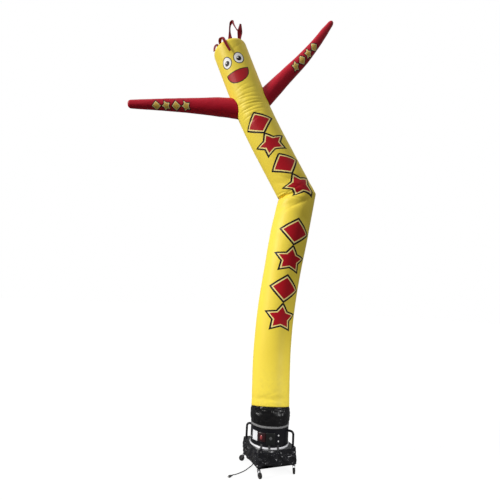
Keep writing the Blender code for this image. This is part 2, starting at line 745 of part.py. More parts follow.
def make_fittings():
    make_wall_plate("blank_plate", (-153.0, -131.5), (0.345, 0.450), 0.0015, "white_plastic")
    make_wall_plate("lamp_housing", (-128.0, -104.5), (0.352, 0.450), LAMP_THICK,
                    "dark_red_plastic")
    make_wall_plate("control_box", (-102.5, -78.0), (0.330, 0.458), BOX_THICK, "black_plastic")
    lens = add_part("lamp_lens", smooth(turned_mesh(dome_profile(0.015, 0.009), 20)), "red_lens")
    outward(lens, LENS_AZ, plate_face(LAMP_THICK, LENS_AZ) + GAP, 0.399, squash=(1.75, 1.0))
    boss_turn = Matrix.Rotation(pi / 4, 3, "Z")
    boss = primitive_mesh("box", (0.030, 0.030, 0.006), (0, 0, 0.003), turn=boss_turn)
    outward(add_part("box_boss", boss, "black_plastic"), BOSS_AZ,
            plate_face(BOX_THICK, BOSS_AZ) + GAP, 0.402)
    for name, azimuth, height, radius in (("bolt_1", -66.5, 0.426, 0.010),
                                          ("bolt_2", -66.5, 0.363, 0.010),
                                          ("bolt_3", -167.0, 0.354, 0.007)):
        bolt = add_part(name, smooth(turned_mesh(dome_profile(radius, 0.006), 12)), "zinc")
        outward(bolt, azimuth, DRUM_R + GAP, height)


# Intake cover and its tabs

def rim_place(column):
    """A point of the cover's rounded square rim, its outward direction and place in sides.

    Sides are counted from the front corner, turning to the right as seen from above."""
    per_side = SKIRT_STEPS + SKIRT_CORNER_STEPS
    side, step = divmod(column, per_side)
    half = BASE_HALF + SKIRT_CLEAR + CLOTH
    radius = BASE_CORNER_R
    flat = half - radius
    if step <= SKIRT_STEPS:
        along = -flat + 2 * flat * step / SKIRT_STEPS
        point, normal = Vector((along, -half, 0)), Vector((0, -1, 0))
    else:
        angle = -pi / 2 + (pi / 2) * (step - SKIRT_STEPS) / SKIRT_CORNER_STEPS
        normal = Vector((cos(angle), sin(angle), 0))
        point = Vector((flat, -flat, 0)) + normal * radius
    turn = Matrix.Rotation(side * pi / 2, 3, "Z")
    return turn @ point, turn @ normal, side + step / per_side


def make_skirt():
    columns = 4 * (SKIRT_STEPS + SKIRT_CORNER_STEPS)

    def place(column, row):
        point, normal, where = rim_place(column)
        hem = SKIRT_HEM + 0.007 * sin(2 * pi * where * 0.75 + 0.6) + 0.004 * sin(2 * pi * where * 2)
        height = hem + (SKIRT_TOP - hem) * row / SKIRT_ROWS
        drop = (SKIRT_TOP - height) / (SKIRT_TOP - SKIRT_HEM)
        swell = 0.0
        for middle, slant, width, depth in SKIRT_FOLDS:
            off = (where - middle - slant * (drop - 0.5) + 2.0) % 4.0 - 2.0
            swell += depth * exp(-(off / width) ** 2)
        ease = min(1.0, max(0.0, drop - 0.16) * 3.0)
        return point + normal * (swell * ease) + Vector((0, 0, height))

    skirt = rolled_panel("intake_cover", columns, SKIRT_ROWS, place, CLOTH, "shiny_black_cloth")
    skirt.parent = BASE


def make_tab(name, azimuth, side, along):
    """A strap sewn outside the cover's rim, led over the flange and up the drum's wall."""
    lift = WEBBING + GAP + 0.0002
    wall = facet_radius(DRUM_R, azimuth, DRUM_SIDES) + lift + 0.0004
    tangent = polar(1.0, azimuth + 90.0)
    side_azimuth = degrees(BASE_TURN) + 90.0 * side
    normal = polar(1.0, side_azimuth)
    rim_side = polar(1.0, side_azimuth + 90.0)
    outside = BASE_HALF + SKIRT_CLEAR + CLOTH + lift
    rim = normal * outside + rim_side * along
    flange_top = DECK_TOP + GAP + FLANGE_H + lift
    stations = (
        (rim + Vector((0, 0, 0.258)), rim_side),
        (rim + Vector((0, 0, SKIRT_TOP + lift)), rim_side),
        (polar(FLANGE_R + lift + 0.0008, azimuth) + Vector((0, 0, SKIRT_TOP + lift + 0.0012)),
         tangent),
        (polar(FLANGE_R + lift - 0.0004, azimuth) + Vector((0, 0, flange_top - 0.001)), tangent),
        (polar(FLANGE_R - 0.003, azimuth) + Vector((0, 0, flange_top + 0.0012)), tangent),
        (polar(wall, azimuth) + Vector((0, 0, flange_top + 0.0050)), tangent),
        (polar(wall, azimuth) + Vector((0, 0, 0.322)), tangent),
    )

    def place(column, row):
        centre, across = stations[row]
        return centre + across * (TAB_HALF * (column - 1))

    return rolled_panel(name, 2, len(stations) - 1, place, WEBBING, "black_webbing", closed=False)


# Casters

def outline_mesh(points, thickness, offset):
    """A flat outline in x and z, thickened along y."""
    curve = bpy.data.curves.new("outline", "CURVE")
    curve.dimensions = "2D"
    curve.fill_mode = "BOTH"
    curve.extrude = thickness / 2
    spline = curve.splines.new("POLY")
    spline.points.add(len(points) - 1)
    spline.use_cyclic_u = True
    for point, (x, z) in zip(spline.points, points):
        point.co = (x, z, 0.0, 1.0)
    obj = bpy.data.objects.new("outline", curve)
    CUTTERS.objects.link(obj)
    obj.rotation_euler = (pi / 2, 0, 0)
    obj.location = (0, offset, 0)
    return take_mesh(obj)


def fork_mesh():
    """Swivel crown, collar and stem, with two cheeks that hold the axle."""
    crown_top = POST_FOOT - 0.0023
    crown_foot = crown_top - 0.008
    profile = ((0.0, POST_FOOT + 0.0155), (STEM_R, POST_FOOT + 0.0155), (STEM_R, POST_FOOT - GAP),
               (0.008, POST_FOOT - GAP), (0.008, crown_top), (0.018, crown_top),
               (0.018, crown_foot), (0.0, crown_foot))
    boss = 0.0095
    cheek = [(-0.013, crown_foot + 0.004), (-0.009, crown_foot - 0.010)]
    for k in range(5):
        angle = pi + radians(35) + radians(145) * k / 4
        cheek.append((TRAIL + boss * cos(angle), WHEEL_R + boss * sin(angle)))
    cheek += [(TRAIL + boss, WHEEL_R + 0.004), (0.0165, crown_foot - 0.006),
              (0.0145, crown_foot + 0.004)]
    thick = 0.0025
    offset = WHEEL_W / 2 + 0.0007 + thick / 2
    cheeks = [outline_mesh(cheek, thick, sign * offset) for sign in (-1, 1)]
    lying = Matrix.Rotation(pi / 2, 3, "X")
    axle = primitive_mesh("cylinder", (AXLE_R, 2 * (offset + thick / 2) + 0.002),
                          (TRAIL, 0, WHEEL_R), turn=lying, segments=12)
    return combine(turned_mesh(profile, 12), cheeks + [axle], "UNION")


def wheel_mesh():
    """A wheel about its own Z, flat facets as far from the axle as the wheel's radius."""
    rim = WHEEL_R / cos(pi / WHEEL_SIDES)
    half = WHEEL_W / 2
    bore = AXLE_R + 0.0005
    profile = ((rim - 0.003, half - 0.001), (rim, half - 0.005), (rim, 0.005 - half),
               (rim - 0.003, 0.001 - half), (bore, -half), (bore, half))
    return turned_mesh(profile, WHEEL_SIDES)


def make_casters():
    fork_shape = smooth(fork_mesh(), 30.0)
    wheel_shape = smooth(wheel_mesh(), 40.0)
    for name, (quarter, heading) in CASTERS.items():
        stem = make_empty("caster_axis_" + name, corner_place(quarter), parent=BASE)
        stem.rotation_euler = (0, 0, radians(heading) - BASE_TURN)
        add_part("fork_" + name, fork_shape.copy(), "chrome", stem)
        wheel = add_part("wheel_" + name, wheel_shape.copy(), "rubber", stem)
        wheel.location = (TRAIL, 0, WHEEL_R)
        wheel.rotation_euler = (pi / 2, pi / WHEEL_SIDES, 0)


# Mains lead

def make_lead():
    profile = ((0.0, GLAND_LENGTH), (0.0058, GLAND_LENGTH), (0.0085, 0.018), (0.0110, 0.017),
               (0.0110, 0.005), (0.0130, 0.004), (0.0130, 0.0), (0.0, 0.0))
    gland = add_part("cord_gland", smooth(turned_mesh(profile, 16)), "black_plastic")
    outward(gland, GLAND_AZ, facet_radius(DRUM_R, GLAND_AZ, DRUM_SIDES) + GAP, GLAND_Z)

    entry = polar(COIL_ENTRY_REACH, GLAND_AZ)
    outer_turn = COIL_TURN_R + COIL_HALF_BAND - CORD_R
    centre = entry + polar(outer_turn, GLAND_AZ + 90.0)
    low, high = COIL_TURN_R - COIL_HALF_BAND, COIL_TURN_R + COIL_HALF_BAND
    # The outer turn's cord comes out of the ring's side over this length
    buried = sqrt(high ** 2 - (outer_turn - CORD_R) ** 2)
    emerging = degrees(atan2(buried, outer_turn - CORD_R))

    lead = [polar(reach, GLAND_AZ) + Vector((0, 0, z)) for reach, z in LEAD_ROUTE]
    lead.append(polar(COIL_ENTRY_REACH - buried - GAP, GLAND_AZ) + Vector((0, 0, FLOOR_Z)))
    wire("cord_lead", catmull_rom(lead, 2), CORD_R, 2, "cord_rubber")

    ring = ((low + 0.004, COIL_HEIGHT + GAP), (high - 0.004, COIL_HEIGHT + GAP),
            (high, COIL_HEIGHT - 0.004), (high, 0.003), (high - 0.003, GAP), (low + 0.003, GAP),
            (low, 0.003), (low, COIL_HEIGHT - 0.004))
    coil = add_part("cord_coil", smooth(turned_mesh(ring, COIL_SIDES)), "cord_rubber")
    coil.location = centre
    coil.rotation_euler = (0, 0, radians(GLAND_AZ - 90.0 - emerging))

    start = centre + polar(outer_turn, COIL_EXIT_AZ) + polar(buried + GAP, COIL_EXIT_AZ + 90.0)
    run = [start + Vector((0, 0, FLOOR_Z))] + [Vector((x, y, FLOOR_Z)) for x, y in RUN_ROUTE]
    for back, share in ((1, 1.0), (2, 1.0), (3, 0.55), (4, 0.10)):
        run[-back].z += PLUG_RISE * share
    wire("cord_run", catmull_rom(run, 2), CORD_R, 2, "cord_rubber")
    make_plug(run[-1])


def make_plug(cord_end):
    """A moulded plug lying on the floor, its own Z along its heading."""
    profile = ((0.0, 0.058), (0.0150, 0.058), (0.0162, 0.056), (0.0162, 0.040), (0.0120, 0.026),
               (0.0085, 0.022), (0.0062, 0.0), (0.0, 0.0))
    forward = polar(1.0, PLUG_HEADING)
    foot = cord_end + forward * (2 * GAP)
    body = add_part("plug_body", smooth(turned_mesh(profile, 16)), "black_plastic")
    lie_along(body, foot, squash=(0.80, 1.0))
    for name, side, up, size in (("plug_blade_1", -0.0060, 0.0030, (0.0060, 0.0016, 0.017)),
                                 ("plug_blade_2", 0.0060, 0.0030, (0.0060, 0.0016, 0.017)),
                                 ("plug_earth_pin", 0.0, -0.0060, (0.0044, 0.0044, 0.019))):
        pin = primitive_mesh("box", size, (-up, side, size[2] / 2))
        lie_along(add_part(name, pin, "zinc"), foot + forward * (0.058 + GAP))


def lie_along(obj, place, squash=(1, 1)):
    obj.data.transform(Matrix.Diagonal((squash[0], squash[1], 1.0, 1.0)))
    turn = Matrix.Rotation(radians(PLUG_HEADING), 4, "Z") @ Matrix.Rotation(pi / 2, 4, "Y")
    obj.matrix_local = Matrix.Translation(place) @ turn


clear_scene()
PARTS = make_collection("air_dancer")
CUTTERS = make_collection("cutters")
MATERIALS = make_materials()
AXIS = make_empty("blower_axis", (BLOWER_X, 0.0, 0.0))
BASE = make_empty("base_axis", (0.0, 0.0, 0.0), BASE_TURN, AXIS)
LOWER = CentreLine(in_plane(BODY_BELOW_FOLD))
UPPER = CentreLine(in_plane(BODY_ABOVE_FOLD))

body = make_body()
crown_tree = BVHTree.FromPolygons([vert.co for vert in body.data.vertices],
                                  [face.vertices for face in body.data.polygons])
make_arm("arm_left", LEFT_ARM, LEFT_ARM_TIP)
make_arm("arm_right", RIGHT_ARM, RIGHT_ARM_TIP)
for hair_name, hair_stations in HAIR.items():
    make_hair(hair_name, hair_stations, crown_tree)
make_sleeve()
make_strap()
make_drum()
make_base()
make_motor()
make_handle("handle_left", degrees(BASE_TURN) + 135.0)
make_handle("handle_right", degrees(BASE_TURN) - 45.0)
make_fittings()
make_skirt()
for tab_name, (tab_azimuth, tab_side, tab_along) in TABS.items():
    make_tab(tab_name, tab_azimuth, tab_side, tab_along)
make_casters()
make_lead()
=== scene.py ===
# %% [markdown]
# # An air dancer on its blower
#
# An air dancer is a tall cloth tube that a blower keeps half full of moving air, so it leans,
# folds and waves. Nearly all of it is cloth, and cloth decides how this lesson is built: the
# sheets are laid out as flat grids and bent into shape by a rule, while the blower's steel
# parts are modelled from primitives, the way a workshop would make them.

# %% Load the frame
from math import atan2, cos, degrees, exp, pi, radians, sin, sqrt

import bpy
from mathutils import Matrix, Vector, noise


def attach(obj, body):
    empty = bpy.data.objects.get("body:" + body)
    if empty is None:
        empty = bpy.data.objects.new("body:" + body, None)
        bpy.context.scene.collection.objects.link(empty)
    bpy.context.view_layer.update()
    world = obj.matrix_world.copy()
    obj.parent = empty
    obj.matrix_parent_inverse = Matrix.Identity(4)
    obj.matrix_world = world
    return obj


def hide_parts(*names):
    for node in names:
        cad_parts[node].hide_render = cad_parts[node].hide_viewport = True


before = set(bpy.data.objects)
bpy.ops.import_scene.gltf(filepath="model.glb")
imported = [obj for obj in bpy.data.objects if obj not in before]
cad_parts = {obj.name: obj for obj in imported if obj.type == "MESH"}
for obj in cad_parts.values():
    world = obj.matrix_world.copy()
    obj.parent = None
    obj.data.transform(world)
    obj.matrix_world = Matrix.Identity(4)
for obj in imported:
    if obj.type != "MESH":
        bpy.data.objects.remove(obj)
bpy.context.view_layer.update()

# %% [markdown]
# ## Shared measures
#
# Everything stands on one upright line, the blower's axis. The square base is turned about it.
# The solids use the same numbers, so a piece goes straight to its place with no fitting.

# %% Shared measures
AXIS = Vector((0.724, 0.0, 0.0))
BASE_TURN = 21.9
BLOWER = "figure_and_blower"
CLOTH = 0.0012
GAP = 0.0003


def around(radius, azimuth, height=0.0):
    """A point at an azimuth in degrees round the blower's axis."""
    angle = radians(azimuth)
    return AXIS + Vector((radius * cos(angle), radius * sin(angle), height))


# %% [markdown]
# ## Camera
#
# The view is like a phone's: a short lens a little above eye level, tipped up to take in the
# figure and rolled three degrees, so the ground looks tilted. The lens was chosen; the camera's
# place was then fitted to the base, the wheels' feet and the drum.

# %% Camera
CAMERA_PLACE, CAMERA_TIP, CAMERA_ROLL = (0.376, -4.740, 1.977), 7.18, 3.02
camera_data = bpy.data.cameras.new("camera")
camera_data.sensor_width = 36.0
camera_data.lens = 27.07
camera_data.clip_end = 200.0
camera = bpy.data.objects.new("camera", camera_data)
bpy.context.scene.collection.objects.link(camera)
camera.matrix_world = (Matrix.Translation(CAMERA_PLACE)
                       @ Matrix.Rotation(radians(90.0 + CAMERA_TIP), 4, "X")
                       @ Matrix.Rotation(radians(CAMERA_ROLL), 4, "Z"))
bpy.context.scene.camera = camera
print("lens", camera_data.lens, "mm")

# %% [markdown]
# ## Selecting, joining and placing
#
# An operator works on everything that is selected, so each step starts from nothing selected.
# A finished piece has its place in its mesh: its transform is applied, and its object stays at
# the origin.

# %% Helpers for operators


def deselect():
    if bpy.context.object and bpy.context.object.mode != "OBJECT":
        bpy.ops.object.mode_set(mode="OBJECT")
    bpy.ops.object.select_all(action="DESELECT")


def pick(*pieces):
    deselect()
    for piece in pieces:
        piece.select_set(True)
    bpy.context.view_layer.objects.active = pieces[0]


def settle(piece, matrix):
    """Moves a piece by a matrix, then applies its transform."""
    pick(piece)
    piece.matrix_world = matrix @ piece.matrix_world
    bpy.ops.object.transform_apply(location=True, rotation=True, scale=True)
    return piece


def join(name, *pieces):
    pick(*pieces)
    if len(pieces) > 1:
        bpy.ops.object.join()
    piece = bpy.context.object
    piece.name = name
    return piece


def apply_modifier(piece, kind, **settings):
    pick(piece)
    modifier = piece.modifiers.new(kind.lower(), kind)
    for key, value in settings.items():
        setattr(modifier, key, value)
    bpy.ops.object.modifier_apply(modifier=modifier.name)
    return piece


def weld():
    """Merges the active piece's points that lie in the same place."""
    bpy.ops.object.mode_set(mode="EDIT")
    bpy.ops.mesh.select_all(action="SELECT")
    bpy.ops.mesh.remove_doubles(threshold=0.00001)
    bpy.ops.object.mode_set(mode="OBJECT")


def curve_through(name, points, closed=False, **settings):
    """A curve object that runs straight from point to point."""
    curve = bpy.data.curves.new(name, "CURVE")
    for key, value in settings.items():
        setattr(curve, key, value)
    spline = curve.splines.new("POLY")
    spline.points.add(len(points) - 1)
    spline.use_cyclic_u = closed
    for spot, place in zip(spline.points, points):
        spot.co = (*place, 1.0)
    piece = bpy.data.objects.new(name, curve)
    bpy.context.scene.collection.objects.link(piece)
    return piece


def curve_to_mesh(piece):
    pick(piece)
    bpy.ops.object.convert(target="MESH")
    weld()
    return bpy.context.object


def soften(piece, width, segments=2, angle=35.0):
    """Rounds the hard edges and shades the rest smooth."""
    apply_modifier(piece, "BEVEL", width=width, segments=segments, limit_method="ANGLE",
                   angle_limit=radians(angle), harden_normals=False)
    pick(piece)
    bpy.ops.object.shade_smooth_by_angle(angle=radians(angle))
    return piece


def dress(piece, material, slot, nodes=(), body=BLOWER):
    """Finish and body of a piece that stands for some solids, which it hides. slot is not used.
    """
    piece.data.materials.clear()
    piece.data.materials.append(material)
    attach(piece, body)
    if nodes:
        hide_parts(*nodes)
    return piece


def repaint(material, *nodes):
    """Gives solids of the frame that keep their shape a finish."""
    for node in nodes:
        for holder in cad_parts[node].material_slots:
            holder.link = "OBJECT"
            holder.material = material


# %% [markdown]
# ## A smooth line
#
# The cord, the arms and the body all follow a smooth line through a few chosen points. A
# Catmull-Rom curve passes through each point and needs no handles.

# %% A smooth line


def smooth_line(points, steps):
    points = [Vector(p) for p in points]
    padded = [2 * points[0] - points[1]] + points + [2 * points[-1] - points[-2]]
    line = []
    for i in range(1, len(padded) - 2):
        p0, p1, p2, p3 = padded[i - 1:i + 3]
        for k in range(steps):
            t = k / steps
            line.append(0.5 * (2 * p1 + (p2 - p0) * t + (2 * p0 - 5 * p1 + 4 * p2 - p3) * t * t
                               + (3 * p1 - p0 - 3 * p2 + p3) * t ** 3))
    line.append(points[-1])
    return line


# %% [markdown]
# ## Material helper
#
# Node trees are long to write out, so a small helper adds a node, sets its values or links its
# inputs, and gives back the output. Each effect that several materials share is a node group.

# %% Material helper


class Graph:
    """Adds nodes to a tree; an input is a number, a colour or another node's output."""

    def __init__(self, tree):
        self.tree = tree

    def put(self, socket, value):
        if isinstance(value, bpy.types.NodeSocket):
            self.tree.links.new(value, socket)
        elif value is not None:
            if socket.type == "RGBA" and len(value) == 3:
                value = (*value, 1.0)
            socket.default_value = value

    def node(self, kind, inputs=None, **settings):
        node = self.tree.nodes.new(kind)
        for key, value in settings.items():
            setattr(node, key, value)
        for key, value in (inputs or {}).items():
            self.put(node.inputs[key], value)
        return node

    def math(self, operation, a, b=None, c=None, clamp=False):
        node = self.node("ShaderNodeMath", {0: a}, operation=operation, use_clamp=clamp)
        if b is not None:
            self.put(node.inputs[1], b)
        if c is not None:
            self.put(node.inputs[2], c)
        return node.outputs[0]

    def ramp(self, value, low, high, to_low=0.0, to_high=1.0):
        node = self.node("ShaderNodeMapRange", {0: value, 1: low, 2: high, 3: to_low, 4: to_high})
        return node.outputs[0]

    def mix(self, factor, a, b):
        return self.node("ShaderNodeMix", {0: factor, 6: a, 7: b}, data_type="RGBA").outputs[2]

    def noise(self, vector, scale, detail=3.0, roughness=0.5):
        node = self.node("ShaderNodeTexNoise", {"Vector": vector, "Scale": scale,
                                                "Detail": detail, "Roughness": roughness})
        return node.outputs["Fac"]

    def stretch(self, vector, scale):
        node = self.node("ShaderNodeMapping", {"Vector": vector, "Scale": scale})
        return node.outputs[0]

    def split(self, vector):
        return self.node("ShaderNodeSeparateXYZ", {0: vector}).outputs


def new_group(name, inputs, outputs):
    """A node group; each input is a name, a socket kind and a start value."""
    tree = bpy.data.node_groups.new(name, "ShaderNodeTree")
    for label, kind, value in inputs:
        socket = tree.interface.new_socket(name=label, in_out="INPUT", socket_type=kind)
        if value is not None:
            socket.default_value = value
    for label, kind in outputs:
        tree.interface.new_socket(name=label, in_out="OUTPUT", socket_type=kind)
    graph = Graph(tree)
    enter = tree.nodes.new("NodeGroupInput").outputs
    leave = tree.nodes.new("NodeGroupOutput").inputs
    return tree, graph, enter, leave


def new_material(name, **shader_values):
    """A material with its Principled shader and coordinates at hand."""
    material = bpy.data.materials.new(name)
    material.use_nodes = True
    graph = Graph(material.node_tree)
    shader = material.node_tree.nodes["Principled BSDF"]
    for key, value in shader_values.items():
        graph.put(shader.inputs[key.replace("_", " ")], value)
    spots = graph.node("ShaderNodeTexCoord").outputs
    return material, graph, shader, spots


def use_group(graph, tree, **inputs):
    node = graph.node("ShaderNodeGroup", node_tree=tree)
    for key, value in inputs.items():
        graph.put(node.inputs[key.replace("_", " ")], value)
    return node.outputs


def bump(graph, shader, height, distance, strength=1.0, under=None):
    node = graph.node("ShaderNodeBump", {"Height": height, "Distance": distance,
                                         "Strength": strength})
    if under is not None:
        graph.put(node.inputs["Normal"], under)
    graph.put(shader.inputs["Normal"], node.outputs[0])
    return node.outputs[0]


FLOAT, VECTOR = "NodeSocketFloat", "NodeSocketVector"

# %% [markdown]
# ## Weave
#
# The figure is sewn from thin coated nylon. Close up it shows a plain weave, with thicker
# threads in a square grid that stop a tear. Both are waves over the sheet's own flat
# coordinates, which are in metres, so the threads follow the cloth round every bend.

# %% Node group: weave
WEAVE, g, enter, leave = new_group(
    "Cloth weave",
    (("Flat", VECTOR, None), ("Threads", FLOAT, 900.0), ("Grid", FLOAT, 0.006)),
    (("Height", FLOAT), ("Shade", FLOAT)))
flat_u, flat_v, _ = g.split(enter["Flat"])
turn_u = g.math("MULTIPLY", flat_u, g.math("MULTIPLY", enter["Threads"], 2 * pi))
turn_v = g.math("MULTIPLY", flat_v, g.math("MULTIPLY", enter["Threads"], 2 * pi))
plain = g.math("MULTIPLY", g.math("SINE", turn_u), g.math("SINE", turn_v))
grid_u = g.math("PINGPONG", flat_u, g.math("MULTIPLY", enter["Grid"], 0.5))
grid_v = g.math("PINGPONG", flat_v, g.math("MULTIPLY", enter["Grid"], 0.5))
thick = g.ramp(g.math("MINIMUM", grid_u, grid_v), 0.0, 0.0004, 1.0, 0.0)
g.put(leave["Height"], g.math("ADD", g.math("MULTIPLY", plain, 0.25), thick))
cloud = g.noise(enter["Flat"], 9.0, 4.0, 0.6)
g.put(leave["Shade"], g.math("ADD", g.math("MULTIPLY", thick, 0.25), cloud))

# %% [markdown]
# ## Weather
#
# A figure that stands outdoors fades in patches and picks up dust, most of all low down. The
# group gives two soft masks from the place in the object: broad patches, and a dirt that grows
# towards a chosen height.

# %% Node group: weather
WEATHER, g, enter, leave = new_group(
    "Weather",
    (("Place", VECTOR, None), ("Patch scale", FLOAT, 1.6), ("Dust top", FLOAT, 0.8),
     ("Dust foot", FLOAT, 0.0)),
    (("Patch", FLOAT), ("Dust", FLOAT), ("Speckle", FLOAT)))
patch = g.noise(enter["Place"], enter["Patch scale"], 5.0, 0.55)
g.put(leave["Patch"], g.ramp(patch, 0.35, 0.65))
_, _, height = g.split(enter["Place"])
low = g.ramp(height, enter["Dust foot"], enter["Dust top"], 1.0, 0.0)
smear = g.noise(enter["Place"], 22.0, 6.0, 0.65)
g.put(leave["Dust"], g.math("MULTIPLY", low, g.ramp(smear, 0.40, 0.72), clamp=True))
g.put(leave["Speckle"], g.ramp(g.noise(enter["Place"], 260.0, 3.0, 0.7), 0.60, 0.72))

# %% [markdown]
# ## Stitches
#
# A seam is two layers folded together and run through with thread. Its mask comes from the
# distance to the seam line and the distance along it.

# %% Node group: stitches
STITCHES, g, enter, leave = new_group(
    "Stitches",
    (("Across", FLOAT, 1.0), ("Along", FLOAT, 0.0), ("Pitch", FLOAT, 0.005)),
    (("Thread", FLOAT), ("Pucker", FLOAT)))
beat = g.math("PINGPONG", enter["Along"], g.math("MULTIPLY", enter["Pitch"], 0.5))
lit = g.ramp(beat, 0.0, 0.0012, 0.0, 1.0)
line = g.ramp(g.math("ABSOLUTE", enter["Across"]), 0.0003, 0.0011, 1.0, 0.0)
g.put(leave["Thread"], g.math("MULTIPLY", lit, line))
wide = g.ramp(g.math("ABSOLUTE", enter["Across"]), 0.0, 0.014, 1.0, 0.0)
g.put(leave["Pucker"], g.math("MULTIPLY", wide,
                              g.math("SINE", g.math("MULTIPLY", enter["Along"], 320.0))))

# %% [markdown]
# ## Print
#
# The figure carries a column of bold printed shapes, and the arms a row of small ones: stars
# and diamonds by turns, each in a coloured fill, a pale line inside its edge and a dark
# outline. The group measures the distance to the shape's edge on the flat cloth. Three
# thresholds of that distance are the three inks. A star is folded into one of its ten halves,
# where its edge is a single straight line.

# %% Node group: print
STAR_NORMAL = (0.5033, 0.8641)          # of a star's edge, in the half it is folded into
DIAMOND_HALF = (0.92, 0.95)             # half width and half height, in sizes
DIAMOND_SCALE = 0.612                   # turns the diamond's measure into a distance
INK_EDGE = 0.0008                       # half the soft edge of every ink


def inked(graph, distance, limit):
    """1 where a distance is below the limit, 0 elsewhere."""
    return graph.ramp(graph.math("SUBTRACT", distance, limit), -INK_EDGE, INK_EDGE, 1.0, 0.0)


PRINT, g, enter, leave = new_group(
    "Printed column",
    (("Flat", VECTOR, None), ("Middle", FLOAT, 0.0), ("First", FLOAT, 0.0),
     ("Pitch", FLOAT, 0.3), ("Count", FLOAT, 4.0), ("Size", FLOAT, 0.13),
     ("Line", FLOAT, 0.008), ("Wide", FLOAT, 1.0)),
    (("Outline", FLOAT), ("Inline", FLOAT), ("Fill", FLOAT)))
flat_u, flat_v, _ = g.split(enter["Flat"])
x = g.math("DIVIDE", g.math("SUBTRACT", flat_u, enter["Middle"]), enter["Wide"])
step = g.math("ADD", g.math("DIVIDE", g.math("SUBTRACT", flat_v, enter["First"]),
                            enter["Pitch"]), 0.5)
index = g.math("FLOOR", step)
y = g.math("MULTIPLY", g.math("SUBTRACT", g.math("SUBTRACT", step, index), 0.5), enter["Pitch"])
inside = g.math("MULTIPLY", g.math("GREATER_THAN", index, -0.5),
                g.math("LESS_THAN", index, g.math("SUBTRACT", enter["Count"], 0.5)))
reach = g.math("SQRT", g.math("ADD", g.math("MULTIPLY", x, x), g.math("MULTIPLY", y, y)))
half = g.math("ABSOLUTE", g.math("WRAP", g.math("ARCTAN2", x, y), pi / 5, -pi / 5))
star_x = g.math("SUBTRACT", g.math("MULTIPLY", reach, g.math("COSINE", half)), enter["Size"])
star_y = g.math("MULTIPLY", reach, g.math("SINE", half))
star = g.math("ADD", g.math("MULTIPLY", star_x, STAR_NORMAL[0]),
              g.math("MULTIPLY", star_y, STAR_NORMAL[1]))
lean_x = g.math("DIVIDE", g.math("ABSOLUTE", x), DIAMOND_HALF[0])
lean_y = g.math("DIVIDE", g.math("ABSOLUTE", y), DIAMOND_HALF[1])
diamond = g.math("MULTIPLY", g.math("SUBTRACT", g.math("ADD", lean_x, lean_y), enter["Size"]),
                 DIAMOND_SCALE)
odd = g.math("FLOORED_MODULO", index, 2.0)
edge = g.math("ADD", g.math("MULTIPLY", star, g.math("SUBTRACT", 1.0, odd)),
              g.math("MULTIPLY", diamond, odd))
for label, lines in (("Outline", 1.0), ("Inline", -0.4), ("Fill", -1.3)):
    limit = g.math("MULTIPLY", enter["Line"], lines)
    g.put(leave[label], g.math("MULTIPLY", inked(g, edge, limit), inside))

# %% [markdown]
# ## Yellow cloth
#
# Bright lemon nylon with a satin coat. The print, the face and the stitches all lie in the
# colour; the weave and the puckers lie in the bump. The face is as plain as it can be: two
# ringed eyes and a half-moon mouth.

# %% Yellow cloth
TUBE_R = 0.2285
GIRTH = 2 * pi * TUBE_R
FOLD_V = 2.626            # flat height, 9 mm past the fold, that the print and face start from
FACE_U = GIRTH / 2 - 0.052
yellow_cloth, g, shader, spots = new_material(
    "yellow cloth", Roughness=0.46, Specular_IOR_Level=0.18)
flat = spots["UV"]
flat_u, flat_v, _ = g.split(flat)
weave = use_group(g, WEAVE, Flat=flat, Threads=800.0, Grid=0.007)
weather = use_group(g, WEATHER, Place=spots["Object"], Dust_top=1.3, Dust_foot=0.6)
cloth_colour = g.mix(weather["Patch"], (0.93, 0.740, 0.080), (0.88, 0.680, 0.066))
cloth_colour = g.mix(g.math("MULTIPLY", weave["Shade"], 0.16), cloth_colour, (0.72, 0.52, 0.035))
cloth_colour = g.mix(g.math("MULTIPLY", weather["Dust"], 0.25), cloth_colour, (0.36, 0.28, 0.10))
middle = g.ramp(flat_v, FOLD_V, FOLD_V + 0.95, GIRTH / 2 + 0.058, GIRTH / 2 - 0.050)
low_print = use_group(g, PRINT, Flat=flat, Middle=middle, First=1.065, Pitch=0.353, Count=4.0,
                      Size=0.166, Line=0.0135, Wide=1.22)
high_print = use_group(g, PRINT, Flat=flat, Middle=middle, First=2.710, Pitch=0.312, Count=4.0,
                       Size=0.152, Line=0.0130, Wide=1.35)
for label, ink in (("Outline", (0.012, 0.008, 0.010)), ("Inline", (0.95, 0.80, 0.30)),
                   ("Fill", (0.42, 0.004, 0.012))):
    both = g.math("ADD", low_print[label], high_print[label], clamp=True)
    cloth_colour = g.mix(both, cloth_colour, ink)


def disc(graph, centre_u, centre_v, radius, squash=1.0):
    """Signed distance to a printed disc on the flat cloth."""
    du = graph.math("DIVIDE", graph.math("SUBTRACT", flat_u, centre_u), squash)
    dv = graph.math("SUBTRACT", flat_v, centre_v)
    square = graph.math("ADD", graph.math("MULTIPLY", du, du), graph.math("MULTIPLY", dv, dv))
    return graph.math("SUBTRACT", graph.math("SQRT", square), radius)


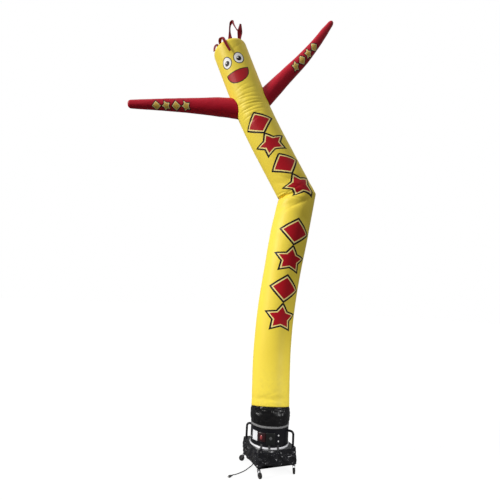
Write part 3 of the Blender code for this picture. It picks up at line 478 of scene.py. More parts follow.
EYE_V, EYE_SIDE, EYE_R, EYE_SQUASH = FOLD_V + 1.938, 0.086, 0.070, 0.86
PUPIL_R, PUPIL_DROP = 0.034, 0.008
GLINT_R, GLINT_SIDE, GLINT_RISE = 0.010, 0.011, 0.008
MOUTH_V, MOUTH_R = FOLD_V + 1.778, 0.150
FACE_LINE = 0.012
BLACK_INK, WHITE_INK = (0.015, 0.010, 0.010), (0.92, 0.92, 0.90)
for side in (-1, 1):
    centre = FACE_U + side * EYE_SIDE
    eye = disc(g, centre, EYE_V, EYE_R, EYE_SQUASH)
    pupil = disc(g, centre, EYE_V - PUPIL_DROP, PUPIL_R)
    glint = disc(g, centre - GLINT_SIDE, EYE_V + GLINT_RISE, GLINT_R)
    for shape, limit, ink in ((eye, FACE_LINE, BLACK_INK), (eye, 0.0, WHITE_INK),
                              (pupil, 0.0, BLACK_INK), (glint, 0.0, WHITE_INK)):
        cloth_colour = g.mix(inked(g, shape, limit), cloth_colour, ink)
moon = disc(g, FACE_U, MOUTH_V, MOUTH_R)
moon = g.math("MAXIMUM", moon, g.math("SUBTRACT", flat_v, MOUTH_V))
cloth_colour = g.mix(inked(g, moon, FACE_LINE), cloth_colour, BLACK_INK)
cloth_colour = g.mix(inked(g, moon, 0.0), cloth_colour, (0.42, 0.010, 0.016))

back_seam = g.math("PINGPONG", flat_u, GIRTH / 2)
back = use_group(g, STITCHES, Across=g.math("SUBTRACT", back_seam, 0.006), Along=flat_v)
foot = use_group(g, STITCHES, Across=g.math("SUBTRACT", flat_v, 0.012), Along=flat_u)
thread = g.math("MAXIMUM", back["Thread"], foot["Thread"])
cloth_colour = g.mix(thread, cloth_colour, (0.80, 0.62, 0.02))
g.put(shader.inputs["Base Color"], cloth_colour)
g.put(shader.inputs["Roughness"], g.ramp(weave["Shade"], 0.2, 1.0, 0.40, 0.56))
pucker = g.math("ADD", back["Pucker"], foot["Pucker"])
puckered = bump(g, shader, pucker, 0.0012)
bump(g, shader, weave["Height"], 0.00012, 0.8, under=puckered)

# %% [markdown]
# ## Red, crimson and black cloth
#
# The arms, the hair and the sleeve on the blower are the same nylon in other colours. Only the
# arms are printed.

# %% Red, crimson and black cloth


def dyed_cloth(name, light, dark, roughness, stitches_at=None, dust=0.0, gloss=0.16):
    """A plain coloured nylon, with an optional row of stitches along a flat height."""
    material, g, shader, spots = new_material(name, Roughness=roughness,
                                              Specular_IOR_Level=gloss)
    weave = use_group(g, WEAVE, Flat=spots["UV"], Threads=800.0, Grid=0.007)
    weather = use_group(g, WEATHER, Place=spots["Object"], Dust_top=1.0)
    colour = g.mix(g.math("MULTIPLY", weave["Shade"], 0.5), light, dark)
    colour = g.mix(g.math("MULTIPLY", weather["Patch"], 0.35), colour, dark)
    if dust:
        colour = g.mix(g.math("MULTIPLY", weather["Dust"], dust), colour, (0.20, 0.17, 0.14))
    along, up, _ = g.split(spots["UV"])
    under = None
    if stitches_at is not None:
        row = use_group(g, STITCHES, Across=g.math("SUBTRACT", up, stitches_at), Along=along)
        colour = g.mix(row["Thread"], colour, light)
        under = bump(g, shader, row["Pucker"], 0.0012)
    g.put(shader.inputs["Base Color"], colour)
    g.put(shader.inputs["Roughness"],
          g.ramp(weave["Shade"], 0.2, 1.0, roughness - 0.07, roughness + 0.09))
    bump(g, shader, weave["Height"], 0.00012, 0.8, under=under)
    return material


red_cloth = dyed_cloth("red cloth", (0.54, 0.009, 0.028), (0.33, 0.004, 0.016), 0.42)
crimson_cloth = dyed_cloth("crimson cloth", (0.30, 0.005, 0.014), (0.13, 0.002, 0.008), 0.50)
black_cloth = dyed_cloth("black cloth", (0.0045, 0.0045, 0.0056), (0.0018, 0.0018, 0.0024), 0.27,
                         stitches_at=0.196, dust=0.05, gloss=0.34)
ARM_GOLD, ARM_LINE = (0.78, 0.52, 0.10), (0.030, 0.006, 0.006)
printed_arms = {}
for side, middle, first in (("left", 0.430, 0.78), ("right", 0.280, 0.70)):
    printed = red_cloth.copy()
    printed.name = "red cloth, printed %s arm" % side
    g = Graph(printed.node_tree)
    shader = printed.node_tree.nodes["Principled BSDF"]
    spots = next(n for n in printed.node_tree.nodes if n.type == "TEX_COORD").outputs
    plain_colour = shader.inputs["Base Color"].links[0].from_socket
    row = use_group(g, PRINT, Flat=spots["UV"], Middle=middle, First=first, Pitch=0.150,
                    Count=4.0, Size=0.074, Line=0.0080)
    colour = g.mix(row["Outline"], plain_colour, ARM_LINE)
    colour = g.mix(row["Inline"], colour, (0.92, 0.80, 0.42))
    g.put(shader.inputs["Base Color"], g.mix(row["Fill"], colour, ARM_GOLD))
    printed_arms[side] = printed

# %% [markdown]
# ## Shiny black cover cloth
#
# The cover round the base is a heavier sheet with a glossy coat. It creases into flat facets,
# so the bump is a crumple of cells of two sizes, their edges bent by noise. A little dust sits
# on it near the ground.

# %% Shiny black cover cloth
shiny_black, g, shader, spots = new_material(
    "shiny black cloth", Roughness=0.24, Specular_IOR_Level=0.15, Coat_Weight=0.8,
    Coat_Roughness=0.09)
weather = use_group(g, WEATHER, Place=spots["Object"], Dust_top=0.26, Dust_foot=0.08)
weave = use_group(g, WEAVE, Flat=spots["UV"], Threads=700.0, Grid=0.005)
colour = g.mix(weather["Patch"], (0.0030, 0.0030, 0.0050), (0.0055, 0.0055, 0.0085))
colour = g.mix(g.math("MULTIPLY", weather["Dust"], 0.10), colour, (0.10, 0.09, 0.08))
g.put(shader.inputs["Base Color"], colour)
g.put(shader.inputs["Roughness"], g.ramp(weather["Dust"], 0.0, 1.0, 0.20, 0.50))
bent = g.node("ShaderNodeVectorMath", {0: spots["Object"], 1: g.stretch(
    g.node("ShaderNodeTexNoise", {"Vector": spots["Object"], "Scale": 9.0}).outputs["Color"],
    (0.05, 0.05, 0.05))}, operation="ADD").outputs[0]
facets = []
for scale in (10.0, 26.0):
    cells = g.node("ShaderNodeTexVoronoi", {"Vector": bent, "Scale": scale}, feature="F1",
                   distance="MANHATTAN")
    facets.append(cells.outputs["Distance"])
crumple = g.math("ADD", facets[0], g.math("MULTIPLY", facets[1], 0.35))
crumpled = bump(g, shader, crumple, 0.026, 1.0)
bump(g, shader, weave["Height"], 0.00015, 0.6, under=crumpled)

# %% [markdown]
# ## Webbing
#
# Straps are woven thick and flat, with a slanting rib. The strap round the sleeve is grey; the
# cover's tabs are black.

# %% Webbing


def webbing(name, light, dark):
    material, g, shader, spots = new_material(name, Roughness=0.62, Sheen_Weight=0.3)
    along, up, _ = g.split(spots["UV"])
    rib = g.math("SINE", g.math("MULTIPLY", g.math("ADD", along, up), 2200.0))
    fibre = g.noise(g.stretch(spots["UV"], (160.0, 1400.0, 1.0)), 1.0, 3.0, 0.6)
    tone = g.math("ADD", g.math("MULTIPLY", rib, 0.22), fibre)
    g.put(shader.inputs["Base Color"], g.mix(g.ramp(tone, 0.15, 0.95), dark, light))
    bump(g, shader, g.math("ADD", rib, fibre), 0.0003, 0.9)
    return material


grey_webbing = webbing("grey webbing", (0.25, 0.25, 0.26), (0.12, 0.12, 0.12))
black_webbing = webbing("black webbing", (0.030, 0.030, 0.032), (0.010, 0.010, 0.011))

# %% [markdown]
# ## Painted and plated steel
#
# The blower is sheet steel under black powder paint: a fine orange-peel surface, a slightly
# patchy tone, a few worn specks, and dust low down. The ring, the wheel forks and the bolts
# are bare plated metal with faint scratches.

# %% Painted and plated steel


def powder_paint(name, colour, roughness=0.30):
    material, g, shader, spots = new_material(name, Roughness=roughness,
                                              Specular_IOR_Level=0.32)
    weather = use_group(g, WEATHER, Place=spots["Object"], Dust_top=0.45)
    tone = g.mix(g.math("MULTIPLY", weather["Patch"], 0.5), colour,
                 tuple(0.55 * c for c in colour))
    tone = g.mix(g.math("MULTIPLY", weather["Speckle"], 0.12), tone, (0.20, 0.19, 0.18))
    tone = g.mix(g.math("MULTIPLY", weather["Dust"], 0.07), tone, (0.22, 0.19, 0.16))
    g.put(shader.inputs["Base Color"], tone)
    g.put(shader.inputs["Roughness"],
          g.ramp(weather["Dust"], 0.0, 1.0, roughness, roughness + 0.25))
    peel = g.noise(spots["Object"], 420.0, 2.0, 0.4)
    bump(g, shader, peel, 0.0003, 0.5)
    return material


def plated(name, colour, roughness, scratches=(3.0, 3.0, 90.0), metallic=1.0):
    material, g, shader, spots = new_material(name, Metallic=metallic, Roughness=roughness)
    weather = use_group(g, WEATHER, Place=spots["Object"], Dust_top=0.3)
    lines = g.noise(g.stretch(spots["Object"], scratches), 12.0, 4.0, 0.7)
    tone = g.mix(g.math("MULTIPLY", g.ramp(lines, 0.45, 0.75), 0.35), colour,
                 tuple(0.6 * c for c in colour))
    tone = g.mix(g.math("MULTIPLY", weather["Dust"], 0.20), tone, (0.25, 0.21, 0.17))
    g.put(shader.inputs["Base Color"], tone)
    g.put(shader.inputs["Roughness"],
          g.ramp(lines, 0.35, 0.75, roughness - 0.05, roughness + 0.14))
    bump(g, shader, lines, 0.0002, 0.25)
    return material


black_paint = powder_paint("black powder paint", (0.0050, 0.0050, 0.0080))
ring_steel = plated("ring steel", (0.92, 0.92, 0.96), 0.34, metallic=0.3)
fork_chrome = plated("fork chrome", (0.45, 0.45, 0.47), 0.20, (8.0, 8.0, 30.0))
zinc = plated("zinc", (0.93, 0.93, 0.92), 0.36, (30.0, 30.0, 30.0), metallic=0.35)

# %% [markdown]
# ## Rubber and plastic
#
# Tyres and the mains cord are dull rubber with a fine grain. The fittings on the drum are
# moulded plastic, some glossy, with a faint texture and small scratches.

# %% Rubber and plastic


def moulded(name, light, dark, roughness, grain_scale, grain_depth, dust=0.25, **shader_values):
    material, g, shader, spots = new_material(name, Roughness=roughness, **shader_values)
    weather = use_group(g, WEATHER, Place=spots["Object"], Patch_scale=14.0, Dust_top=0.35)
    tone = g.mix(weather["Patch"], light, dark)
    tone = g.mix(g.math("MULTIPLY", weather["Dust"], dust), tone, (0.24, 0.21, 0.18))
    g.put(shader.inputs["Base Color"], tone)
    g.put(shader.inputs["Roughness"],
          g.ramp(weather["Patch"], 0.0, 1.0, roughness, roughness + 0.10))
    bump(g, shader, g.noise(spots["Object"], grain_scale, 3.0, 0.6), grain_depth, 0.6)
    return material


tyre_rubber = moulded("tyre rubber", (0.006, 0.006, 0.006), (0.003, 0.003, 0.003), 0.55,
                      300.0, 0.0006, dust=0.22, Specular_IOR_Level=0.3)
cord_rubber = moulded("cord rubber", (0.014, 0.015, 0.014), (0.008, 0.009, 0.008), 0.45,
                      500.0, 0.0003, dust=0.20)
black_plastic = moulded("black plastic", (0.0075, 0.0085, 0.0085), (0.0045, 0.005, 0.005), 0.28,
                        600.0, 0.0002, dust=0.06)
boss_plastic = moulded("boss plastic", (0.075, 0.075, 0.078), (0.050, 0.050, 0.052), 0.24,
                       600.0, 0.0002, Coat_Weight=0.4)
hub_plastic = moulded("hub plastic", (0.030, 0.030, 0.032), (0.018, 0.018, 0.019), 0.36, 400.0,
                      0.0002, dust=0.10)
white_plastic = moulded("white plastic", (0.80, 0.82, 0.85), (0.72, 0.74, 0.77), 0.30,
                        300.0, 0.0002, dust=0.15)
dark_red_plastic = moulded("dark red plastic", (0.024, 0.0022, 0.0040), (0.014, 0.0015, 0.003),
                           0.30, 300.0, 0.0002, dust=0.05, Coat_Weight=0.3)
red_lens = moulded("red lens", (0.30, 0.050, 0.055), (0.22, 0.030, 0.035), 0.18, 90.0, 0.0008,
                   dust=0.05, Coat_Weight=0.5)

# %% [markdown]
# ## Mains cord
#
# A rubber lead of about 2.9 m leaves the drum's back through a gland, drops behind the base,
# is wound up there in a flat two-layer coil, and runs forward under the base to its plug. It
# is a curve with a round bevel, so its thickness can't change. The coil winds inwards on the
# floor, climbs at the middle, and winds outwards on top of itself.

# %% Mains cord
CORD_R = 0.005
FLOOR_Z = CORD_R + GAP
GLAND_AZ = 103.5
LEAD_ROUTE = ((0.2811, 0.3500), (0.2960, 0.3500), (0.3160, 0.3455), (0.3350, 0.3310),
              (0.3470, 0.3080), (0.3515, 0.2750), (0.3520, 0.2300), (0.3520, 0.1800),
              (0.3520, 0.1300), (0.3520, 0.0850), (0.3560, 0.0480), (0.3680, 0.0220),
              (0.3840, 0.0090), (0.4010, FLOOR_Z), (0.4231, FLOOR_Z), (0.4420, FLOOR_Z))
COIL_ENTRY_REACH = 0.460
COIL_OUT = 0.068
COIL_TURNS, MIDDLE_TURN, COIL_PITCH, COIL_STEPS = 4.4978, 2.25, 0.010, 108
CLIMB = ((1.90, 0.0053), (1.95, 0.0057), (2.05, 0.0072), (2.15, 0.0094), (2.25, 0.0135),
         (2.30, 0.0152), (2.36, 0.0155))
RUN_ROUTE = ((-0.2229, 0.3412), (-0.2085, 0.2700), (-0.1945, 0.2000), (-0.1830, 0.1250),
             (-0.1780, 0.0480), (-0.1960, -0.0080), (-0.2220, -0.0540),
             (-0.2500, -0.1050), (-0.2840, -0.1560), (-0.3230, -0.1990), (-0.3620, -0.2380),
             (-0.3880, -0.2640), (-0.4020, -0.2785), (-0.4070, -0.2837))
PLUG_RISE = 0.0078


def table_value(table, t):
    """Reads a short table of (place, value) along straight lines."""
    if t <= table[0][0]:
        return table[0][1]
    for (t0, v0), (t1, v1) in zip(table, table[1:]):
        if t <= t1:
            return v0 + (v1 - v0) * (t - t0) / (t1 - t0)
    return table[-1][1]


coil_middle = around(COIL_ENTRY_REACH, GLAND_AZ) + around(COIL_OUT, GLAND_AZ + 90.0) - AXIS


def coil_point(turns):
    """A point of the coil; it winds inwards to the middle turn, then outwards again."""
    inward, outward = min(turns, MIDDLE_TURN), max(turns - MIDDLE_TURN, 0.0)
    radius = COIL_OUT - COIL_PITCH * inward + COIL_PITCH * outward
    angle = radians(GLAND_AZ - 90.0) + 2 * pi * turns
    return coil_middle + Vector((radius * cos(angle), radius * sin(angle),
                                 table_value(CLIMB, turns)))


lead = [around(reach, GLAND_AZ, z) for reach, z in LEAD_ROUTE]
winding = [coil_point(COIL_TURNS * k / COIL_STEPS) for k in range(COIL_STEPS + 1)]
leaving = (winding[-1] - winding[-2]).normalized()
off_coil = winding[-1] + leaving * 0.0372
off_coil.z = 0.0128
run = [AXIS + Vector((px, py, FLOOR_Z)) for px, py in RUN_ROUTE]
run[0].z = 0.0065
for back_step, share in ((1, 1.0), (2, 1.0), (3, 0.55), (4, 0.10)):
    run[-back_step].z += PLUG_RISE * share
cord_points = smooth_line(lead, 3)[:-1] + winding + smooth_line([off_coil] + run, 4)
mains_cord = curve_through("mains_cord", cord_points, dimensions="3D", bevel_depth=CORD_R,
                           bevel_resolution=3, use_fill_caps=True)
cord_length = sum((b - a).length for a, b in zip(cord_points, cord_points[1:]))
print("cord %.3f m, %d points" % (cord_length, len(cord_points)))

# %% [markdown]
# ## Turned pieces
#
# Anything round can be drawn as a ring of points that is pulled up and scaled, ring by ring,
# like clay on a wheel. A ring of radius zero is closed to a point.

# %% Turned pieces


def turn_up(name, rings, steps=48):
    """Extrudes a circle through (radius, height) rings about the Z axis at the origin."""
    deselect()
    radius, height = rings[0]
    bpy.ops.mesh.primitive_circle_add(vertices=steps, radius=1.0, location=(0, 0, 0))
    piece = bpy.context.object
    piece.name = name
    bpy.ops.object.mode_set(mode="EDIT")
    bpy.ops.mesh.select_all(action="SELECT")
    current = max(radius, 1e-5)
    bpy.ops.transform.resize(value=(current, current, 1.0))
    bpy.ops.transform.translate(value=(0, 0, height))
    for next_radius, next_height in rings[1:]:
        bpy.ops.mesh.extrude_edges_move()
        scale = max(next_radius, 1e-5) / current
        bpy.ops.transform.resize(value=(scale, scale, 1.0), center_override=(0, 0, height))
        bpy.ops.transform.translate(value=(0, 0, next_height - height))
        current, height = max(next_radius, 1e-5), next_height
    bpy.ops.mesh.select_all(action="SELECT")
    bpy.ops.mesh.remove_doubles(threshold=0.00003)
    bpy.ops.mesh.normals_make_consistent(inside=False)
    bpy.ops.object.mode_set(mode="OBJECT")
    bpy.ops.object.shade_smooth_by_angle(angle=radians(35))
    return piece


# %% [markdown]
# ## Plug
#
# A moulded plug with finger grooves, lying flat on the ground at the end of the cord. Its two
# blades and its round earth pin are solids of the frame, and keep their shape.

# %% Plug
PLUG_HEADING = -134.0
plug_foot = cord_points[-1] + (around(1.0, PLUG_HEADING) - AXIS) * 2 * GAP
plug_rings = [(0.0, 0.0), (0.0058, 0.0), (0.0066, 0.001)]
for k in range(5):
    z = 0.0030 + 0.0036 * k
    plug_rings += [(0.0068 + 0.0004 * k, z), (0.0068 + 0.0004 * k, z + 0.0018),
                   (0.0061 + 0.0004 * k, z + 0.0022), (0.0061 + 0.0004 * k, z + 0.0032)]
plug_rings += [(0.0092, 0.0225), (0.0120, 0.0270), (0.0142, 0.0330), (0.0156, 0.0390),
               (0.0158, 0.0440), (0.0150, 0.0455), (0.0150, 0.0475), (0.0160, 0.0490),
               (0.0161, 0.0555), (0.0152, 0.0578), (0.0, 0.0580)]
plug = turn_up("plug", plug_rings, 40)
lying = Matrix.Rotation(radians(PLUG_HEADING), 4, "Z") @ Matrix.Rotation(pi / 2, 4, "Y")
settle(plug, Matrix.Translation(plug_foot) @ lying @ Matrix.Diagonal((0.80, 1.0, 1.0, 1.0)))
dress(plug, black_plastic, "black_plastic", ["plug_body"])
repaint(zinc, "plug_blade_1", "plug_blade_2", "plug_earth_pin")
dress(mains_cord, cord_rubber, "cord_rubber", ["cord_lead", "cord_coil", "cord_run"])
tuple(cord_points[0])

# %% [markdown]
# ## Sheets
#
# A sheet starts as a flat grid. Each of its points is moved to the place that the rule gives,
# and its flat coordinates are kept in metres, so a pattern stays true to the cloth. A tube is
# closed by merging its two side edges. Solidify then gives the cloth its thickness, inwards.

# %% Sheets


def lay_sheet(name, columns, rows, place, size, closed=False, thickness=CLOTH, row_share=None,
              taper=None):
    """place(u, v) gives a point for u and v from 0 to 1, and size is the flat cloth's. A closed
    sheet is joined into a tube; row_share spaces the rows, and taper gives the cloth's width
    at v as a share of its full width."""
    deselect()
    bpy.ops.mesh.primitive_grid_add(x_subdivisions=columns, y_subdivisions=rows, size=2.0,
                                    calc_uvs=True)
    piece = bpy.context.object
    piece.name = name
    for vert in piece.data.vertices:
        column = round((vert.co.x + 1.0) / 2.0 * columns)
        row = round((vert.co.y + 1.0) / 2.0 * rows)
        if closed:
            column %= columns
        share = row_share(row / rows) if row_share else row / rows
        vert.co = place(column / columns, share)
    for spot in piece.data.uv_layers.active.uv:
        u, v = spot.vector
        v = row_share(v) if row_share else v
        width = taper(v) if taper else 1.0
        spot.vector = ((0.5 + (u - 0.5) * width) * size[0], v * size[1])
    weld()
    bpy.ops.object.shade_smooth()
    apply_modifier(piece, "SOLIDIFY", thickness=thickness, offset=-1.0)
    return piece


# %% [markdown]
# ## Body
#
# The body is one tube, 0.457 m across. Below the fold it curves to the right; the wind folds
# it there and the rest leans to the left. The rule takes a point's height along the tube and
# its angle round it, finds the centre line there, and sets the point off by the radius. Less
# radius makes a crease: one deep one where the fold drives in, and several that fan out from
# it and from the arms, where the cloth is pulled. The hem at the foot is sewn flat.

# %% The body's centre line and creases
SEAM_RISE, SEAM_SLOPE_HEIGHT = 0.045, 0.40
HEM_WIDTH, HEM_EASE = 0.022, 0.05
KNEE_REACH, KNEE_DEPTH, KNEE_WIDTH = 0.20, 0.034, 0.035
CROWN_LENGTH, CROWN_POWER = 0.100, 3.0
BODY_BELOW_FOLD = ((-0.004, 0.697), (-0.012, 1.350), (0.026, 1.960), (0.130, 2.730),
                   (0.2245, 3.2975))
BODY_ABOVE_FOLD = ((0.2245, 3.2975), (-0.030, 3.745), (-0.196, 4.037), (-0.368, 4.367),
                   (-0.523, 4.720), (-0.645, 5.005), (-0.749, 5.250))
# Height past the fold, angle round the tube (270 is the front), half reach round it, slant,
# width along it, depth. The last row swells the tube a little under the fold, where the air is
# held up.
CREASES = (
    (1.13, 248, 30, 0.10, 0.040, 0.005), (1.27, 262, 38, 0.05, 0.040, 0.005),
    (1.38, 235, 26, 0.16, 0.040, 0.004), (1.20, 80, 45, -0.06, 0.050, 0.006),
    (0.17, 290, 55, -0.06, 0.045, 0.010), (-0.15, 262, 60, 0.10, 0.050, 0.011),
    (-0.30, 300, 45, -0.12, 0.055, 0.006), (-2.52, 265, 70, 0.01, 0.035, 0.006),
    (-0.50, 270, 900, 0.00, 0.360, -0.0115),
)
FINE_CREASES = (
    (1.10, 250, 22, 0.02, 0.011, 0.0030), (1.17, 244, 28, -0.01, 0.010, 0.0042),
    (1.22, 258, 32, -0.03, 0.010, 0.0050), (1.265, 250, 36, -0.02, 0.009, 0.0052),
    (1.31, 262, 36, -0.04, 0.010, 0.0056), (1.355, 248, 38, -0.03, 0.010, 0.0054),
    (1.40, 264, 34, -0.05, 0.010, 0.0050), (1.45, 252, 32, -0.02, 0.010, 0.0042),
    (1.51, 266, 26, 0.01, 0.011, 0.0034), (1.57, 254, 22, 0.03, 0.012, 0.0026),
    (1.12, 100, 30, 0.10, 0.013, 0.0040), (1.28, 70, 34, -0.08, 0.013, 0.0040),
    (0.05, 240, 46, 0.05, 0.012, 0.0060), (0.09, 215, 36, -0.06, 0.014, 0.0060),
    (0.13, 262, 40, -0.16, 0.014, 0.0045), (-0.05, 232, 44, -0.04, 0.012, 0.0060),
    (-0.09, 210, 34, 0.06, 0.014, 0.0060), (-0.12, 284, 36, 0.14, 0.014, 0.0040),
    (-0.22, 250, 30, 0.20, 0.016, 0.0035), (0.24, 255, 30, -0.22, 0.016, 0.0035),
    (0.04, 120, 46, -0.05, 0.012, 0.0060), (-0.06, 130, 44, 0.06, 0.013, 0.0060),
    (0.12, 95, 40, 0.14, 0.014, 0.0045), (-0.14, 90, 40, -0.14, 0.014, 0.0045),
    (-2.58, 230, 30, 0.06, 0.010, 0.0030), (-2.55, 290, 34, -0.05, 0.010, 0.0035),
    (-2.47, 262, 26, 0.10, 0.014, 0.0025), (1.75, 300, 30, 0.20, 0.016, 0.0025),
    (2.02, 225, 26, -0.20, 0.014, 0.0025), (2.12, 290, 30, 0.10, 0.012, 0.0030),
)


def flat_line(points):
    return smooth_line([(px, 0.0, pz) for px, pz in points], 24)


class Line:
    """A line read by the length along it."""

    def __init__(self, points):
        self.points = points
        self.lengths = [0.0]
        for a, b in zip(points, points[1:]):
            self.lengths.append(self.lengths[-1] + (b - a).length)
        self.length = self.lengths[-1]

    def at(self, s):
        s = min(max(s, 0.0), self.length)
        i = 1
        while i < len(self.lengths) - 1 and self.lengths[i] < s:
            i += 1
        span = self.points[i] - self.points[i - 1]
        share = (s - self.lengths[i - 1]) / (self.lengths[i] - self.lengths[i - 1])
        return self.points[i - 1] + span * share, span.normalized()

    def distance(self, point):
        best = 1e9
        for a, b in zip(self.points, self.points[1:]):
            span = b - a
            t = min(max((point - a).dot(span) / span.length_squared, 0.0), 1.0)
            best = min(best, (point - (a + span * t)).length)
        return best


LOWER, UPPER = Line(flat_line(BODY_BELOW_FOLD)), Line(flat_line(BODY_ABOVE_FOLD))
BODY_HEIGHT = LOWER.length + UPPER.length + CROWN_LENGTH
fold_lean = 0.5 * (atan2(*LOWER.at(LOWER.length)[1].xz) + atan2(*UPPER.at(0.0)[1].xz))


def body_section(s):
    """Centre, lean and stretch of the cross-section s metres past the fold."""
    if s <= 0.0:
        centre, direction = LOWER.at(LOWER.length + s)
    else:
        centre, direction = UPPER.at(s)
        centre = centre + direction * max(0.0, s - UPPER.length)
    lean = atan2(direction.x, direction.z)
    tilt = (fold_lean - lean) * max(0.0, 1.0 - abs(s) / KNEE_REACH) ** 2
    return centre, lean + tilt, 1.0 / cos(tilt)


def crease_depth(s, theta):
    depth = KNEE_DEPTH * exp(-(s / KNEE_WIDTH) ** 2) * (0.5 - 0.5 * cos(theta)) ** 1.5
    for place, middle, reach, slant, width, deep in CREASES + FINE_CREASES:
        around_it = (theta - radians(middle) + pi) % (2 * pi) - pi
        along = s - place - slant * around_it
        if abs(along) < 3 * width:
            depth += deep * exp(-(along / width) ** 2 - (around_it / radians(reach)) ** 2)
    return depth


def slack(s, theta):
    """Soft unevenness of cloth that the air doesn't quite fill."""
    spot = Vector((cos(theta) * 1.1, sin(theta) * 1.1, s * 1.3))
    broad = noise.noise(spot * 1.2)
    fine = noise.noise(spot * 5.0 + Vector((7, 3, 1)))
    return 0.0026 * broad + 0.0009 * fine


# Row steps up the flat cloth: small at the foot, at the fold, between the arms and at the crown.
ROW_STEPS = ((0.25, 0.010), (2.30, 0.0175), (2.95, 0.0065), (3.60, 0.0130), (4.25, 0.0055),
             (4.80, 0.0130), (BODY_HEIGHT, 0.0050))
row_heights = [0.0]
for top, step in ROW_STEPS:
    start = row_heights[-1]
    count = max(1, round((top - start) / step))
    row_heights += [start + (top - start) * (k + 1) / count for k in range(count)]


def body_row(v):
    """Flat height of a row, as a share of the whole, from the row's own share."""
    return row_heights[round(v * (len(row_heights) - 1))] / BODY_HEIGHT


def body_point(u, v):
    theta = pi / 2 + 2 * pi * u
    s = v * BODY_HEIGHT - LOWER.length
    past = s - UPPER.length
    if past <= 0.0:
        sewn = min(1.0, max(0.0, v * BODY_HEIGHT - HEM_WIDTH) / HEM_EASE)
        radius = TUBE_R - (crease_depth(s, theta) + abs(slack(s, theta))) * sewn
    else:
        share = min(past / CROWN_LENGTH, 1.0)
        radius = TUBE_R * max(0.0, 1.0 - share ** CROWN_POWER) ** (1.0 / CROWN_POWER)
        radius -= abs(slack(s, theta)) * (1.0 - share)
    centre, lean, stretch = body_section(s)
    point = AXIS + centre + Vector((cos(lean), 0.0, -sin(lean))) * (radius * cos(theta) * stretch)
    point.y += radius * sin(theta)
    slip = max(0.0, 1.0 - (s + LOWER.length) / SEAM_SLOPE_HEIGHT)
    point.z -= SEAM_RISE * sin(theta) * slip
    return point


print("fold at flat height %.3f m, body %.3f m, %d rows"
      % (LOWER.length, BODY_HEIGHT, len(row_heights) - 1))

# %% Lay the body
body_tube = lay_sheet("dancer_body", 96, len(row_heights) - 1, body_point, (GIRTH, BODY_HEIGHT),
                      closed=True, row_share=body_row)
dress(body_tube, yellow_cloth, "yellow_cloth", ["body_tube"])
print("body", len(body_tube.data.polygons), "faces")

# %% [markdown]
# ## Arms
#
# Each arm is a long sleeve that tapers to a rounded tip. Its root is trimmed to the body's
# round, and the cloth there is gathered into the seam, so short puckers run out from it.

# %% Arms
ARM_GAP = 0.0017
ROOT_S = 0.35             # about how far along its line an arm leaves the body
ARMS = {
    "left": (((-0.400, 4.449, 0.142), (-0.880, 4.471, 0.121), (-1.200, 4.470, 0.098),
              (-1.700, 4.460, 0.0725), (-2.030, 4.4455, 0.0565)), 0.047),
    "right": (((-0.430, 4.424, 0.134), (0.010, 4.955, 0.0985), (0.240, 5.232, 0.0825),
               (0.403, 5.461, 0.0645), (0.508, 5.631, 0.054), (0.573, 5.733, 0.041)), 0.085),
}


def body_distance(point):
    return min(LOWER.distance(point), UPPER.distance(point))


def arm_rule(stations, tip, seed):
    """The rule of one arm, its taper, its flat length and its girth."""
    line = Line(smooth_line([(px, 0.0, pz) for px, pz, _ in stations], 10))
    radii = [(0.0, stations[0][2])]
    total = 0.0
    for (x0, z0, _), (x1, z1, r1) in zip(stations, stations[1:]):
        total += sqrt((x1 - x0) ** 2 + (z1 - z0) ** 2)
        radii.append((total, r1))
    length = line.length + tip
    roots = {}

    def ring(s, phi, less=0.0):
        centre, direction = line.at(s)
        past = max(0.0, s - line.length)
        radius = table_value(radii, s * total / line.length)
        if past > 0.0:
            radius *= sqrt(max(0.0, 1.0 - (past / tip) ** 2.4))
            centre = centre + direction * past
        radius -= less * min(1.0, radius / 0.05)
        up = Vector((direction.z, 0.0, -direction.x))
        return centre + up * (radius * cos(phi)) + Vector((0, radius * sin(phi), 0))

    def root(phi):
        key = round(phi, 4)
        if key not in roots:
            low, high = 0.0, 0.6
            for _ in range(20):
                middle = 0.5 * (low + high)
                close = body_distance(ring(middle, phi)) < TUBE_R + ARM_GAP
                low, high = (middle, high) if close else (low, middle)
            roots[key] = high
        return roots[key]

    def place(u, v):
        phi = pi / 2 - 2 * pi * u
        start = root(phi)
        s = start + (length - start) * v
        from_root = s - start
        gather = 0.0045 * exp(-from_root / 0.05) * (0.5 + 0.5 * sin(19 * phi + 4 * sin(3 * phi)))
        gather *= min(1.0, from_root / 0.012)
        spot = Vector((cos(phi), sin(phi), 4.0 * s + seed))
        ripple = 0.0030 * abs(noise.noise(spot * 1.6)) + 0.0012 * abs(noise.noise(spot * 5.0))
        slant = sin(9.0 * s + 2.0 * phi + seed) * sin(3 * phi + seed)
        ripple += 0.0016 * max(0.0, slant)
        return AXIS + ring(s, phi, gather + ripple * min(1.0, from_root / 0.03))

    def taper(v):
        s = ROOT_S + (line.length - ROOT_S) * min(1.0, v * length / line.length)
        return table_value(radii, s * total / line.length) / stations[1][2]

    return place, taper, length, 2 * pi * stations[1][2]


for side, (stations, tip) in ARMS.items():
    place, taper, length, girth = arm_rule(stations, tip, 3.0 if side == "left" else 8.0)
    arm = lay_sheet("arm_" + side + "_cloth", 72, 170, place, (girth, length), closed=True,
                    taper=taper)
    dress(arm, printed_arms[side], "red_cloth", ["arm_" + side])
    print("arm", side, "length %.2f m" % length)

# %% [markdown]
# ## Hair
#
# Five cut strips of crimson cloth are sewn to the crown by one end. Each follows a line through
# a few stations, with its own half width and twist, and curls a little across its width.

